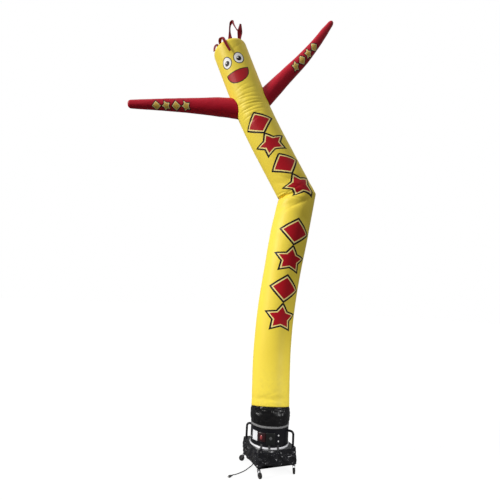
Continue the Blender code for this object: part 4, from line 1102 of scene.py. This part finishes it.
# %% Hair
ROOT_LIFT, HAIR_CLEAR = 0.0009, 0.0035
HAIR = {
    "hair_1": ((-0.922, -0.024, 5.260, 0.012, 30), (-0.924, -0.028, 5.306, 0.017, 30),
               (-0.934, -0.030, 5.344, 0.020, 30), (-0.956, -0.030, 5.338, 0.020, 35),
               (-0.970, -0.030, 5.300, 0.020, 40), (-0.972, -0.026, 5.250, 0.017, 45)),
    "hair_2": ((-0.872, -0.060, 5.300, 0.016, 5), (-0.897, -0.080, 5.347, 0.020, 5),
               (-0.889, -0.120, 5.370, 0.023, 15), (-0.862, -0.172, 5.352, 0.022, 30),
               (-0.834, -0.222, 5.292, 0.020, 32), (-0.803, -0.243, 5.224, 0.018, 33),
               (-0.770, -0.249, 5.166, 0.017, 33), (-0.738, -0.249, 5.114, 0.015, 33)),
    "hair_3": ((-0.764, -0.030, 5.357, 0.026, 0), (-0.766, -0.030, 5.430, 0.030, 0),
               (-0.774, -0.030, 5.495, 0.020, 15), (-0.779, -0.030, 5.550, 0.014, 35),
               (-0.782, -0.030, 5.620, 0.013, 45), (-0.773, -0.030, 5.676, 0.018, 30),
               (-0.752, -0.030, 5.698, 0.020, 30), (-0.731, -0.034, 5.655, 0.014, 50),
               (-0.697, -0.040, 5.593, 0.012, 70), (-0.668, -0.046, 5.553, 0.012, 60)),
    "hair_4": ((-0.645, -0.020, 5.404, 0.019, 0), (-0.644, -0.020, 5.450, 0.022, 5),
               (-0.644, -0.020, 5.505, 0.028, 10), (-0.643, -0.020, 5.560, 0.034, 5),
               (-0.641, -0.020, 5.620, 0.025, 15), (-0.639, -0.020, 5.682, 0.013, 30)),
    "hair_5": ((-0.720, 0.120, 5.372, 0.017, 0), (-0.722, 0.130, 5.430, 0.020, 10),
               (-0.735, 0.142, 5.485, 0.020, 25), (-0.760, 0.155, 5.520, 0.020, 30),
               (-0.792, 0.175, 5.535, 0.018, 40), (-0.830, 0.200, 5.500, 0.016, 40)),
}


def clear_of_body(point, wanted):
    """The point, pushed off the body's cloth if it is nearer than wanted."""
    _, nearest, normal, _ = body_tube.closest_point_on_mesh(point)
    away = point - nearest
    if away.dot(normal) > 0.0 and away.length >= wanted:
        return point
    return nearest + normal * wanted


def lay_hair(name, stations):
    centres = [AXIS + p for p in smooth_line([row[:3] for row in stations], 8)]
    shapes = smooth_line([(row[3], radians(row[4]), 0.0) for row in stations], 8)
    steps = [(b - a).length for a, b in zip(centres, centres[1:])]
    length = sum(steps)
    rows = len(centres) - 1
    widest = max(half for half, _, _ in shapes)
    _, root, root_normal, _ = body_tube.closest_point_on_mesh(centres[0])
    frames = []
    side = Vector((1, 0, 0))
    for row in range(rows + 1):
        direction = (centres[min(row + 1, rows)] - centres[max(row - 1, 0)]).normalized()
        side = (side - direction * side.dot(direction)).normalized()
        frames.append((side, direction))

    def place(u, v):
        row = round(v * rows)
        side, direction = frames[row]
        half, twist, _ = shapes[row]
        side = Matrix.Rotation(twist, 3, direction) @ side
        face = side.cross(direction)
        across = 2.0 * u - 1.0
        curl = 0.30 * half * (1.0 - across * across) * sin(9.0 * v + 1.0)
        if row == 0:
            side = (side - root_normal * side.dot(root_normal)).normalized()
            return root + root_normal * ROOT_LIFT + side * (half * across)
        point = centres[row] + side * (half * across) + face * curl
        return clear_of_body(point, HAIR_CLEAR)

    strip = lay_sheet(name + "_strip", 8, rows, place, (2 * widest, length),
                      taper=lambda v: shapes[round(v * rows)][0] / widest)
    dress(strip, crimson_cloth, "crimson_cloth", [name])


for name, stations in HAIR.items():
    lay_hair(name, stations)

# %% [markdown]
# ## Sleeve
#
# A black sleeve is sewn inside the body's lower edge and pulled over the drum. A strap holds
# it. Between the two the air swells it, and it wrinkles: gathers stand up from the strap, and
# flat buckles run round under the seam.

# %% Sleeve
SEAM_Z = 0.697
SLEEVE_FOOT, SLEEVE_HEAD = 0.490, 0.713
SLEEVE_PROFILE = ((0.490, 0.2266), (0.530, 0.2266), (0.545, 0.2290), (0.560, 0.2322),
                  (0.590, 0.2345), (0.625, 0.2360), (0.660, 0.2325), (0.675, 0.2300),
                  (0.693, 0.2269), (0.713, 0.2269))


def sleeve_point(u, v):
    theta = 2 * pi * u
    base_height = SLEEVE_FOOT + (SLEEVE_HEAD - SLEEVE_FOOT) * v
    radius = table_value(SLEEVE_PROFILE, base_height)
    climb = min(1.0, max(0.0, (base_height - 0.560) / (SEAM_Z - 0.560)))
    loose = max(0.0, min((base_height - 0.532) / 0.03, (0.690 - base_height) / 0.012, 1.0))
    gathers = sin(23 * theta + 5 * sin(2 * theta)) * exp(-((base_height - 0.55) / 0.035) ** 2)
    spot = Vector((cos(theta) * 1.3, sin(theta) * 1.3, base_height * 9.0))
    buckle = 1.0 - abs(noise.noise(spot * 1.5)) * 3.0
    small = 1.0 - abs(noise.noise(spot * 3.4 + Vector((3, 1, 5)))) * 3.0
    radius += loose * (0.0022 * gathers + 0.0042 * max(0.0, buckle) + 0.0018 * small - 0.002)
    height = base_height - climb * SEAM_RISE * sin(theta)
    shift = -0.004 * climb
    return around(radius, degrees(theta), height) + Vector((shift, 0, 0))


sleeve = lay_sheet("blower_sleeve", 260, 90, sleeve_point, (2 * pi * 0.235, 0.262), closed=True)
dress(sleeve, black_cloth, "black_cloth", ["sleeve"])


# %% [markdown]
# ## Strap
#
# A flat strap draws the sleeve tight under the drum's rim. It sags a little between its
# tight places.

# %% Strap
WEBBING = 0.0015
STRAP_R, STRAP_FOOT, STRAP_WIDTH = 0.2266 + 0.0006 + WEBBING, 0.501, 0.022


def strap_point(u, v):
    theta = 360.0 * u
    sag = 0.0012 * sin(radians(3 * theta)) + 0.0008 * sin(radians(7 * theta))
    return around(STRAP_R, theta, STRAP_FOOT + STRAP_WIDTH * v + sag)


strap = lay_sheet("sleeve_strap", 160, 4, strap_point, (2 * pi * 0.2287, 0.022), closed=True,
                  thickness=WEBBING)
dress(strap, grey_webbing, "webbing", ["strap"])

# %% [markdown]
# ## Drum and ring
#
# The drum is rolled sheet steel with a beaded rim that keeps the sleeve from slipping off. A
# plated ring joins its foot to the deck.

# %% Drum and ring
DRUM_R, DECK_TOP = 0.225, 0.278
drum = turn_up("drum_wall", [
    (0.2228, DECK_TOP + GAP), (0.2250, DECK_TOP + GAP), (0.2250, 0.3300), (0.2250, 0.4700),
    (0.2250, 0.5480), (0.2256, 0.5500), (0.2280, 0.5530), (0.2294, 0.5565), (0.2296, 0.5600),
    (0.2288, 0.5635), (0.2268, 0.5658), (0.2240, 0.5660), (0.2228, 0.5640), (0.2228, 0.4200),
    (0.2228, DECK_TOP + GAP)], 128)
settle(drum, Matrix.Translation(AXIS))
dress(drum, black_paint, "black_steel", ["drum"])
FLANGE_R = 0.2325
ring_foot = DECK_TOP + GAP
flange = turn_up("deck_ring", [
    (0.2254, ring_foot), (FLANGE_R, ring_foot), (FLANGE_R, ring_foot + 0.0150),
    (0.2318, ring_foot + 0.0172), (0.2300, ring_foot + 0.0184), (0.2268, ring_foot + 0.0184),
    (0.2254, ring_foot + 0.0176), (0.2254, ring_foot)], 128)
settle(flange, Matrix.Translation(AXIS))
dress(flange, ring_steel, "bright_steel", ["flange_ring"])

# %% [markdown]
# ## Deck, posts and underside
#
# The deck is a square plate with rounded corners. It starts as a cube, its corners are
# bevelled in edit mode, and a Boolean cuts the hole for the air. The pan, guard and motor can
# only be seen from below, so the frame's own solids stay, in the same paint.

# %% Deck, posts and underside
BASE_HALF, DECK_THICK, POST_SIDE = 0.2335, 0.004, 0.020
BASE_FRAME = Matrix.Translation(AXIS) @ Matrix.Rotation(radians(BASE_TURN), 4, "Z")


def block(name, size, centre, corner=0.0):
    """A box; its upright edges are rounded by corner."""
    deselect()
    bpy.ops.mesh.primitive_cube_add(size=1.0, location=centre)
    piece = bpy.context.object
    piece.name = name
    piece.scale = size
    bpy.ops.object.transform_apply(location=True, rotation=True, scale=True)
    if corner:
        bpy.ops.object.mode_set(mode="EDIT")
        bpy.ops.mesh.select_mode(type="EDGE")
        bpy.ops.mesh.select_all(action="DESELECT")
        bpy.ops.object.mode_set(mode="OBJECT")
        for edge in piece.data.edges:
            a, b = (piece.data.vertices[i].co for i in edge.vertices)
            edge.select = abs(a.z - b.z) > 0.5 * size[2] and abs(a.x - b.x) < 1e-6
        bpy.ops.object.mode_set(mode="EDIT")
        bpy.ops.mesh.bevel(offset=corner, segments=4, affect="EDGES")
        bpy.ops.object.mode_set(mode="OBJECT")
    return piece


def cut(piece, cutter):
    apply_modifier(piece, "BOOLEAN", operation="DIFFERENCE", object=cutter, solver="EXACT")
    bpy.data.objects.remove(cutter, do_unlink=True)
    return piece


deck = block("deck_plate", (2 * BASE_HALF, 2 * BASE_HALF, DECK_THICK),
             (0, 0, DECK_TOP - DECK_THICK / 2), 0.010)
deselect()
bpy.ops.mesh.primitive_cylinder_add(vertices=96, radius=DRUM_R - 0.010, depth=0.05,
                                    location=(0, 0, DECK_TOP))
cut(deck, bpy.context.object)
soften(deck, 0.0008)
settle(deck, BASE_FRAME)
dress(deck, black_paint, "black_steel", ["deck"])

CASTER_OFFSET, POST_FOOT = 0.2215, 0.0905
CASTERS = {"front": (0, -58.0), "right": (1, -90.0), "back": (2, 62.0), "left": (3, 165.0)}
post_height = DECK_TOP - DECK_THICK - GAP - POST_FOOT
for corner_name, (quarter, _) in CASTERS.items():
    post = block("corner_post_" + corner_name, (POST_SIDE, POST_SIDE, post_height),
                 (0, 0, POST_FOOT + post_height / 2), 0.003)
    deselect()
    bpy.ops.mesh.primitive_cylinder_add(vertices=24, radius=0.0056, depth=0.035,
                                        location=(0, 0, POST_FOOT))
    cut(post, bpy.context.object)
    soften(post, 0.0005, 1)
    stem = (Matrix.Rotation(radians(90.0 * quarter), 4, "Z")
            @ Matrix.Translation((-CASTER_OFFSET, -CASTER_OFFSET, 0)))
    settle(post, BASE_FRAME @ stem)
    dress(post, black_paint, "black_steel", ["post_" + corner_name])
repaint(black_paint, "base_pan", "intake_guard", "motor")

# %% [markdown]
# ## Handles
#
# Two bent tubes to lift the blower by. Each is a curve with a round bevel, made a mesh. One end
# meets the drum's wall, and the other stands on the deck with a welded foot plate.

# %% Handles
HANDLE_R, HANDLE_REACH, HANDLE_TOP, HANDLE_BEND = 0.0135, 0.2945, 0.450, 0.036
for side, azimuth in (("left", BASE_TURN + 135.0), ("right", BASE_TURN - 45.0)):
    bend_x, bend_z = HANDLE_REACH - HANDLE_BEND, HANDLE_TOP - HANDLE_BEND
    route = [(DRUM_R + GAP, 0.0, HANDLE_TOP)]
    for k in range(13):
        angle = pi / 2 * (1 - k / 12)
        route.append((bend_x + HANDLE_BEND * cos(angle), 0.0, bend_z + HANDLE_BEND * sin(angle)))
    route.append((HANDLE_REACH, 0.0, DECK_TOP + GAP))
    bar = curve_to_mesh(curve_through("handle_bar_" + side, route, dimensions="3D",
                                      bevel_depth=HANDLE_R, bevel_resolution=4,
                                      use_fill_caps=True))
    bpy.ops.object.shade_smooth_by_angle(angle=radians(40))
    foot_plate = turn_up("foot", [(0.0, DECK_TOP + GAP), (0.0175, DECK_TOP + GAP),
                                  (0.0175, DECK_TOP + 0.0022), (0.0145, DECK_TOP + 0.0036),
                                  (0.0, DECK_TOP + 0.0040)], 32)
    settle(foot_plate, Matrix.Translation((HANDLE_REACH, 0, 0)))
    handle = join("handle_" + side + "_bar", bar, foot_plate)
    settle(handle, Matrix.Translation(AXIS) @ Matrix.Rotation(radians(azimuth), 4, "Z"))
    dress(handle, black_paint, "black_steel", ["handle_" + side])

# %% [markdown]
# ## Fittings on the drum
#
# A plain white plate, a red lamp in a dark red housing, and a black control box with a diamond
# boss. The plates are bent to the drum: a flat grid of columns laid round the wall, thickened
# and bevelled.

# %% Fittings on the drum


def wall_plate(name, azimuths, heights, thickness, edge, material, slot, node, crown=0.0):
    """A plate that lies on the drum's wall, its outer face softly crowned."""
    low, high = azimuths

    def place(u, v):
        fall = crown * ((2 * u - 1) ** 4 + (2 * v - 1) ** 4)
        return around(DRUM_R + 0.0004 + thickness - fall, low + (high - low) * u,
                      heights[0] + (heights[1] - heights[0]) * v)

    width = DRUM_R * radians(high - low)
    piece = lay_sheet(name, 16, 12, place, (width, heights[1] - heights[0]),
                      thickness=thickness - 0.0002)
    soften(piece, edge, 3, 50.0)
    return dress(piece, material, slot, [node])


wall_plate("white_plate", (-153.0, -131.5), (0.345, 0.450), 0.0015, 0.0004, white_plastic,
           "white_plastic", "blank_plate")
wall_plate("lamp_body", (-128.0, -104.5), (0.352, 0.450), 0.012, 0.0030, dark_red_plastic,
           "dark_red_plastic", "lamp_housing", 0.002)
wall_plate("switch_box", (-102.5, -78.0), (0.330, 0.458), 0.018, 0.0035, black_plastic,
           "black_plastic", "control_box", 0.002)


def stand_out(piece, azimuth, reach, height, squash=(1.0, 1.0)):
    """Turns a piece's own Z out of the drum's wall."""
    turn = Matrix.Rotation(radians(azimuth), 4, "Z") @ Matrix.Rotation(pi / 2, 4, "Y")
    place = Matrix.Translation(around(reach, azimuth, height))
    return settle(piece, place @ turn @ Matrix.Diagonal((squash[0], squash[1], 1.0, 1.0)))


lens = turn_up("lamp_glass", [(0.0, 0.0), (0.0150, 0.0), (0.0150, 0.0014), (0.0140, 0.0034),
                              (0.0118, 0.0056), (0.0085, 0.0075), (0.0045, 0.0086),
                              (0.0, 0.0090)], 40)
stand_out(lens, -117.0, DRUM_R + 0.0124, 0.399, (1.75, 1.0))
dress(lens, red_lens, "red_lens", ["lamp_lens"])
boss = block("diamond_boss", (0.030, 0.030, 0.006), (0, 0, 0.003), 0.002)
soften(boss, 0.0016, 3)
settle(boss, Matrix.Rotation(pi / 4, 4, "Z"))
stand_out(boss, -90.0, DRUM_R + 0.0184, 0.402)
dress(boss, boss_plastic, "black_plastic", ["box_boss"])
for name, azimuth, height, radius in (("bolt_1", -66.5, 0.426, 0.010),
                                      ("bolt_2", -66.5, 0.363, 0.010),
                                      ("bolt_3", -167.0, 0.354, 0.007)):
    head = turn_up("wall_" + name, [(0.0, 0.0), (radius, 0.0), (radius, 0.0010),
                                    (radius * 0.92, 0.0026), (radius * 0.70, 0.0044),
                                    (radius * 0.36, 0.0056), (0.0, 0.0060)], 32)
    socket = block("socket", (radius * 0.55, radius * 0.14, 0.004), (0, 0, 0.0060))
    cross = block("cross", (radius * 0.14, radius * 0.55, 0.004), (0, 0, 0.0060))
    cut(head, socket)
    cut(head, cross)
    stand_out(head, azimuth, DRUM_R + GAP, height)
    dress(head, zinc, "zinc", [name])

gland = turn_up("cord_gland_body", [
    (0.0, 0.0), (0.0130, 0.0), (0.0130, 0.0040), (0.0112, 0.0048), (0.0110, 0.0070),
    (0.0106, 0.0072), (0.0110, 0.0100), (0.0106, 0.0102), (0.0110, 0.0130), (0.0106, 0.0132),
    (0.0108, 0.0165), (0.0084, 0.0180), (0.0080, 0.0230), (0.0074, 0.0235), (0.0076, 0.0300),
    (0.0070, 0.0305), (0.0071, 0.0370), (0.0065, 0.0375), (0.0066, 0.0440), (0.0060, 0.0445),
    (0.0060, 0.0555), (0.0, 0.0560)], 32)
stand_out(gland, GLAND_AZ, 0.2246, 0.350)
dress(gland, black_plastic, "black_plastic", ["cord_gland"])

# %% [markdown]
# ## Intake cover
#
# The cover hangs from the deck's edge round all four sides and leaves the wheels free. It is
# one long strip laid round a rounded square. The main folds stand away from the frame; a
# crumple of ridges runs over them, always outwards, so that the cloth never cuts the posts.

# %% Intake cover
SKIRT_TOP, SKIRT_HEM = 0.2815, 0.110
RIM_HALF, RIM_ROUND = BASE_HALF + 0.0022 + CLOTH, 0.012
SKIRT_FOLDS = (
    (0.10, -0.16, 0.060, 0.010), (0.36, 0.22, 0.070, 0.012), (0.58, 0.30, 0.060, 0.010),
    (0.86, 0.20, 0.050, 0.008), (1.22, 0.10, 0.080, 0.010), (1.55, -0.18, 0.070, 0.011),
    (1.84, 0.12, 0.050, 0.008), (2.25, 0.20, 0.080, 0.010), (2.62, -0.12, 0.070, 0.010),
    (3.12, 0.14, 0.060, 0.009), (3.45, -0.20, 0.070, 0.011), (3.78, 0.24, 0.060, 0.012),
)
SIDE_CELLS, CORNER_CELLS = 64, 8


def rim_point(column):
    """Place on the rounded square, outward direction, and place in sides from the front."""
    per_side = SIDE_CELLS + CORNER_CELLS
    side, step = divmod(column, per_side)
    straight = RIM_HALF - RIM_ROUND
    if step <= SIDE_CELLS:
        point = Vector((-straight + 2 * straight * step / SIDE_CELLS, -RIM_HALF, 0))
        normal = Vector((0, -1, 0))
    else:
        angle = -pi / 2 + (pi / 2) * (step - SIDE_CELLS) / CORNER_CELLS
        normal = Vector((cos(angle), sin(angle), 0))
        point = Vector((straight, -straight, 0)) + normal * RIM_ROUND
    turn = Matrix.Rotation(side * pi / 2, 3, "Z")
    return turn @ point, turn @ normal, side + step / per_side


SKIRT_COLUMNS = 4 * (SIDE_CELLS + CORNER_CELLS)


def skirt_point(u, v):
    point, normal, where = rim_point(round(u * SKIRT_COLUMNS) % SKIRT_COLUMNS)
    hem = SKIRT_HEM + 0.007 * sin(2 * pi * where * 0.75 + 0.6) + 0.004 * sin(4 * pi * where)
    height = hem + (SKIRT_TOP - hem) * v
    drop = (SKIRT_TOP - height) / (SKIRT_TOP - SKIRT_HEM)
    swell = 0.0
    for middle, slant, width, depth in SKIRT_FOLDS:
        off = (where - middle - slant * (drop - 0.5) + 2.0) % 4.0 - 2.0
        swell += depth * exp(-(off / width) ** 2)
    spot = point * 6.5 + Vector((0, 0, height * 12.0))
    ridge = max(0.0, 1.0 - 2.6 * abs(noise.noise(spot)))
    ridge_2 = max(0.0, 1.0 - 2.6 * abs(noise.noise(spot * 2.3 + Vector((4, 9, 2)))))
    crumple = 0.0074 * ridge ** 1.5 + 0.0030 * ridge_2
    ease = min(1.0, max(0.0, drop - 0.06) * 4.0)
    return point + normal * ((swell + crumple) * ease) + Vector((0, 0, height))


cover_girth = 4 * 2 * RIM_HALF
cover = lay_sheet("intake_cover_cloth", SKIRT_COLUMNS, 56, skirt_point,
                  (cover_girth, SKIRT_TOP - SKIRT_HEM), closed=True)
settle(cover, BASE_FRAME)
dress(cover, shiny_black, "shiny_black_cloth", ["intake_cover"])

# %% [markdown]
# ## Tabs
#
# Short straps sewn to the cover's rim are led over the ring and stuck to the drum, so the
# cover can't slip down.

# %% Tabs
TABS = {"tab_1": (-116.3, -2, 0.204), "tab_2": (-93.0, -1, -0.100), "tab_3": (-67.5, -1, 0.002),
        "tab_4": (21.9, 0, 0.000), "tab_5": (112.0, 1, 0.000)}
TAB_HALF = 0.0125


def lay_tab(name, azimuth, side, along):
    lift = WEBBING + GAP + 0.0002
    wall = DRUM_R + lift + 0.0004
    tangent = around(1.0, azimuth + 90.0) - AXIS
    normal = around(1.0, BASE_TURN + 90.0 * side) - AXIS
    rim_side = around(1.0, BASE_TURN + 90.0 * side + 90.0) - AXIS
    rim = AXIS + normal * (RIM_HALF + lift) + rim_side * along
    top = DECK_TOP + GAP + 0.0185 + lift
    stations = [
        (rim + Vector((0, 0, 0.258)), rim_side), (rim + Vector((0, 0, 0.270)), rim_side),
        (rim + Vector((0, 0, SKIRT_TOP + lift)), rim_side),
        (around(FLANGE_R + lift + 0.0008, azimuth, SKIRT_TOP + lift + 0.0012), tangent),
        (around(FLANGE_R + lift - 0.0004, azimuth, top - 0.001), tangent),
        (around(FLANGE_R - 0.003, azimuth, top + 0.0012), tangent),
        (around(wall, azimuth, top + 0.0050), tangent), (around(wall, azimuth, 0.312), tangent),
        (around(wall, azimuth, 0.322), tangent)]

    def place(u, v):
        s = v * (len(stations) - 1)
        i = min(int(s), len(stations) - 2)
        centre = stations[i][0].lerp(stations[i + 1][0], s - i)
        across = stations[i][1].lerp(stations[i + 1][1], s - i)
        return centre + across * (TAB_HALF * (2 * u - 1))

    length = sum((b[0] - a[0]).length for a, b in zip(stations, stations[1:]))
    tab = lay_sheet(name + "_strap", 6, 5 * (len(stations) - 1), place, (2 * TAB_HALF, length),
                    thickness=WEBBING)
    dress(tab, black_webbing, "black_webbing", [name])


for name, (azimuth, side, along) in TABS.items():
    lay_tab(name, azimuth, side, along)

# %% [markdown]
# ## Casters
#
# Four swivel casters. The fork is a round crown with two flat cheeks and a plain axle; the
# wheel is a rubber tyre on a plastic hub. One of each is modelled at the origin and copied to
# the four corners, where it trails its own way.

# %% Casters
WHEEL_R, WHEEL_W, TRAIL = 0.033, 0.023, 0.028
CHEEK_THICK, CHEEK_BEVEL, CHEEK_CLEAR = 0.0025, 0.0004, 0.0007
ON_AXLE = Matrix.Translation((TRAIL, 0, WHEEL_R)) @ Matrix.Rotation(pi / 2, 4, "X")


def cheek_plate(points):
    """A flat outline in x and z, thickened along y."""
    outline = curve_through("cheek", [(px, pz, 0.0) for px, pz in points], closed=True,
                            dimensions="2D", fill_mode="BOTH",
                            extrude=CHEEK_THICK / 2 - CHEEK_BEVEL, bevel_depth=CHEEK_BEVEL,
                            bevel_resolution=1, offset=-CHEEK_BEVEL)
    return settle(curve_to_mesh(outline), Matrix.Rotation(pi / 2, 4, "X"))


crown_top = POST_FOOT - 0.0023
crown_foot = crown_top - 0.008
crown = turn_up("crown", [
    (0.0, crown_foot), (0.0165, crown_foot), (0.0180, crown_foot + 0.0015),
    (0.0180, crown_foot + 0.0032), (0.0172, crown_foot + 0.0040), (0.0180, crown_foot + 0.0048),
    (0.0180, crown_top - 0.0012), (0.0168, crown_top), (0.0080, crown_top),
    (0.0080, POST_FOOT - GAP), (0.0050, POST_FOOT - GAP), (0.0050, POST_FOOT + 0.0150),
    (0.0, POST_FOOT + 0.0155)], 40)
cheek_points = [(-0.013, crown_foot + 0.004), (-0.0105, crown_foot - 0.005),
                (-0.009, crown_foot - 0.010)]
for k in range(11):
    angle = pi + radians(35) + radians(145) * k / 10
    cheek_points.append((TRAIL + 0.0095 * cos(angle), WHEEL_R + 0.0095 * sin(angle)))
cheek_points += [(TRAIL + 0.0095, WHEEL_R + 0.004), (0.0245, crown_foot - 0.014),
                 (0.0165, crown_foot - 0.006), (0.0145, crown_foot + 0.004)]
cheek_side = WHEEL_W / 2 + CHEEK_CLEAR + CHEEK_THICK / 2
cheeks = [settle(cheek_plate(cheek_points), Matrix.Translation((0, sign * cheek_side, 0)))
          for sign in (-1, 1)]
axle = turn_up("axle", [(0.0, -0.0148), (0.0030, -0.0148), (0.0046, -0.0143), (0.0047, -0.0136),
                        (0.0047, 0.0136), (0.0046, 0.0143), (0.0030, 0.0148), (0.0, 0.0148)], 24)
settle(axle, ON_AXLE)
fork = join("fork_shape", crown, *cheeks, axle)
pick(fork)
bpy.ops.object.shade_smooth_by_angle(angle=radians(35))

half = WHEEL_W / 2
tyre = turn_up("tyre", [
    (0.0245, -half + 0.0012), (0.0290, -half + 0.0004), (0.0312, -half + 0.0012),
    (0.0326, -half + 0.0034), (0.0330, -half + 0.0062), (0.0330, half - 0.0062),
    (0.0326, half - 0.0034), (0.0312, half - 0.0012), (0.0290, half - 0.0004),
    (0.0245, half - 0.0012), (0.0240, half - 0.0030), (0.0240, -half + 0.0030),
    (0.0245, -half + 0.0012)], 64)
hub = turn_up("hub", [
    (0.0052, -half), (0.0085, -half), (0.0090, -half + 0.0010), (0.0095, -half + 0.0035),
    (0.0210, -half + 0.0045), (0.0225, -half + 0.0015), (0.0242, -half + 0.0010),
    (0.0242, half - 0.0010), (0.0225, half - 0.0015), (0.0210, half - 0.0045),
    (0.0095, half - 0.0035), (0.0090, half - 0.0010), (0.0085, half), (0.0052, half),
    (0.0052, -half)], 48)

for corner_name, (quarter, heading) in CASTERS.items():
    stem = (BASE_FRAME @ Matrix.Rotation(radians(90.0 * quarter), 4, "Z")
            @ Vector((-CASTER_OFFSET, -CASTER_OFFSET, 0)))
    turn = Matrix.Translation(stem) @ Matrix.Rotation(radians(heading), 4, "Z")
    for shape, label, material, slot, part, place in (
            (fork, "fork", fork_chrome, "chrome", "fork_", turn),
            (tyre, "tyre", tyre_rubber, "rubber", "wheel_", turn @ ON_AXLE),
            (hub, "hub", hub_plastic, "rubber", "wheel_", turn @ ON_AXLE)):
        copy = shape.copy()
        copy.data = shape.data.copy()
        copy.name = "%s_%s_shape" % (label, corner_name)
        bpy.context.scene.collection.objects.link(copy)
        settle(copy, place)
        dress(copy, material, slot, [part + corner_name], "caster_" + part + corner_name)
for shape in (fork, tyre, hub):
    bpy.data.objects.remove(shape, do_unlink=True)

# %% [markdown]
# ## Floor and light
#
# A white floor under a white sky, so the ground runs into the background with no line and keeps
# only a faint shadow. To the rays that light the cloth the same floor is grey, or it would throw
# so much light back up that the undersides would lose their shade. A broad sun stands low on
# the left and a little in front. The sky is brighter overhead than at the horizon, which leaves
# the upright black sides deep and lets every crease that tips upwards catch light. One small
# lamp, low on the right, draws the shine on the cover.

# %% Floor and light
deselect()
bpy.ops.mesh.primitive_circle_add(vertices=96, radius=60.0, fill_type="NGON",
                                  location=(0, 0, -0.0006))
floor = bpy.context.object
floor.name = "floor"
floor_finish, g, shader, spots = new_material("floor", Roughness=1.0, Specular_IOR_Level=0.0)
seen = g.node("ShaderNodeLightPath").outputs["Is Camera Ray"]
tone = g.noise(spots["Object"], 0.6, 3.0, 0.5)
g.put(shader.inputs["Base Color"], g.mix(tone, (0.135, 0.135, 0.135), (0.155, 0.155, 0.155)))
g.put(shader.inputs["Emission Color"], (1.0, 1.0, 1.0))
g.put(shader.inputs["Emission Strength"], g.math("MULTIPLY", seen, 0.90))
floor.data.materials.append(floor_finish)

sun_data = bpy.data.lights.new("key", "SUN")
sun_data.energy = 3.1
sun_data.angle = radians(12.0)
sun_data.color = (1.0, 0.985, 0.96)
sun = bpy.data.objects.new("key", sun_data)
bpy.context.scene.collection.objects.link(sun)
sun.rotation_euler = (radians(70.0), 0.0, radians(-69.0))

lamp_data = bpy.data.lights.new("low lamp", "AREA")
lamp_data.shape = "RECTANGLE"
lamp_data.size, lamp_data.size_y = 0.45, 0.70
lamp_data.energy = 11.0
lamp = bpy.data.objects.new("low lamp", lamp_data)
bpy.context.scene.collection.objects.link(lamp)
lamp.location = AXIS + Vector((1.12, -1.06, 0.95))
lamp_aim = AXIS + Vector((0, 0, 0.2)) - lamp.location
lamp.rotation_euler = lamp_aim.to_track_quat("-Z", "Y").to_euler()
lamp.visible_camera = False

world = bpy.data.worlds.new("studio")
bpy.context.scene.world = world
world.use_nodes = True
g = Graph(world.node_tree)
backdrop = world.node_tree.nodes["Background"]
seen = g.node("ShaderNodeLightPath").outputs["Is Camera Ray"]
g.put(backdrop.inputs["Color"], (1.0, 1.0, 1.0))
_, _, upward = g.split(g.node("ShaderNodeTexCoord").outputs["Generated"])
sky = g.ramp(upward, 0.0, 0.80, 0.15, 0.80)
g.put(backdrop.inputs["Strength"], g.math("MAXIMUM", sky, seen))
bpy.context.scene.view_settings.view_transform = "Standard"
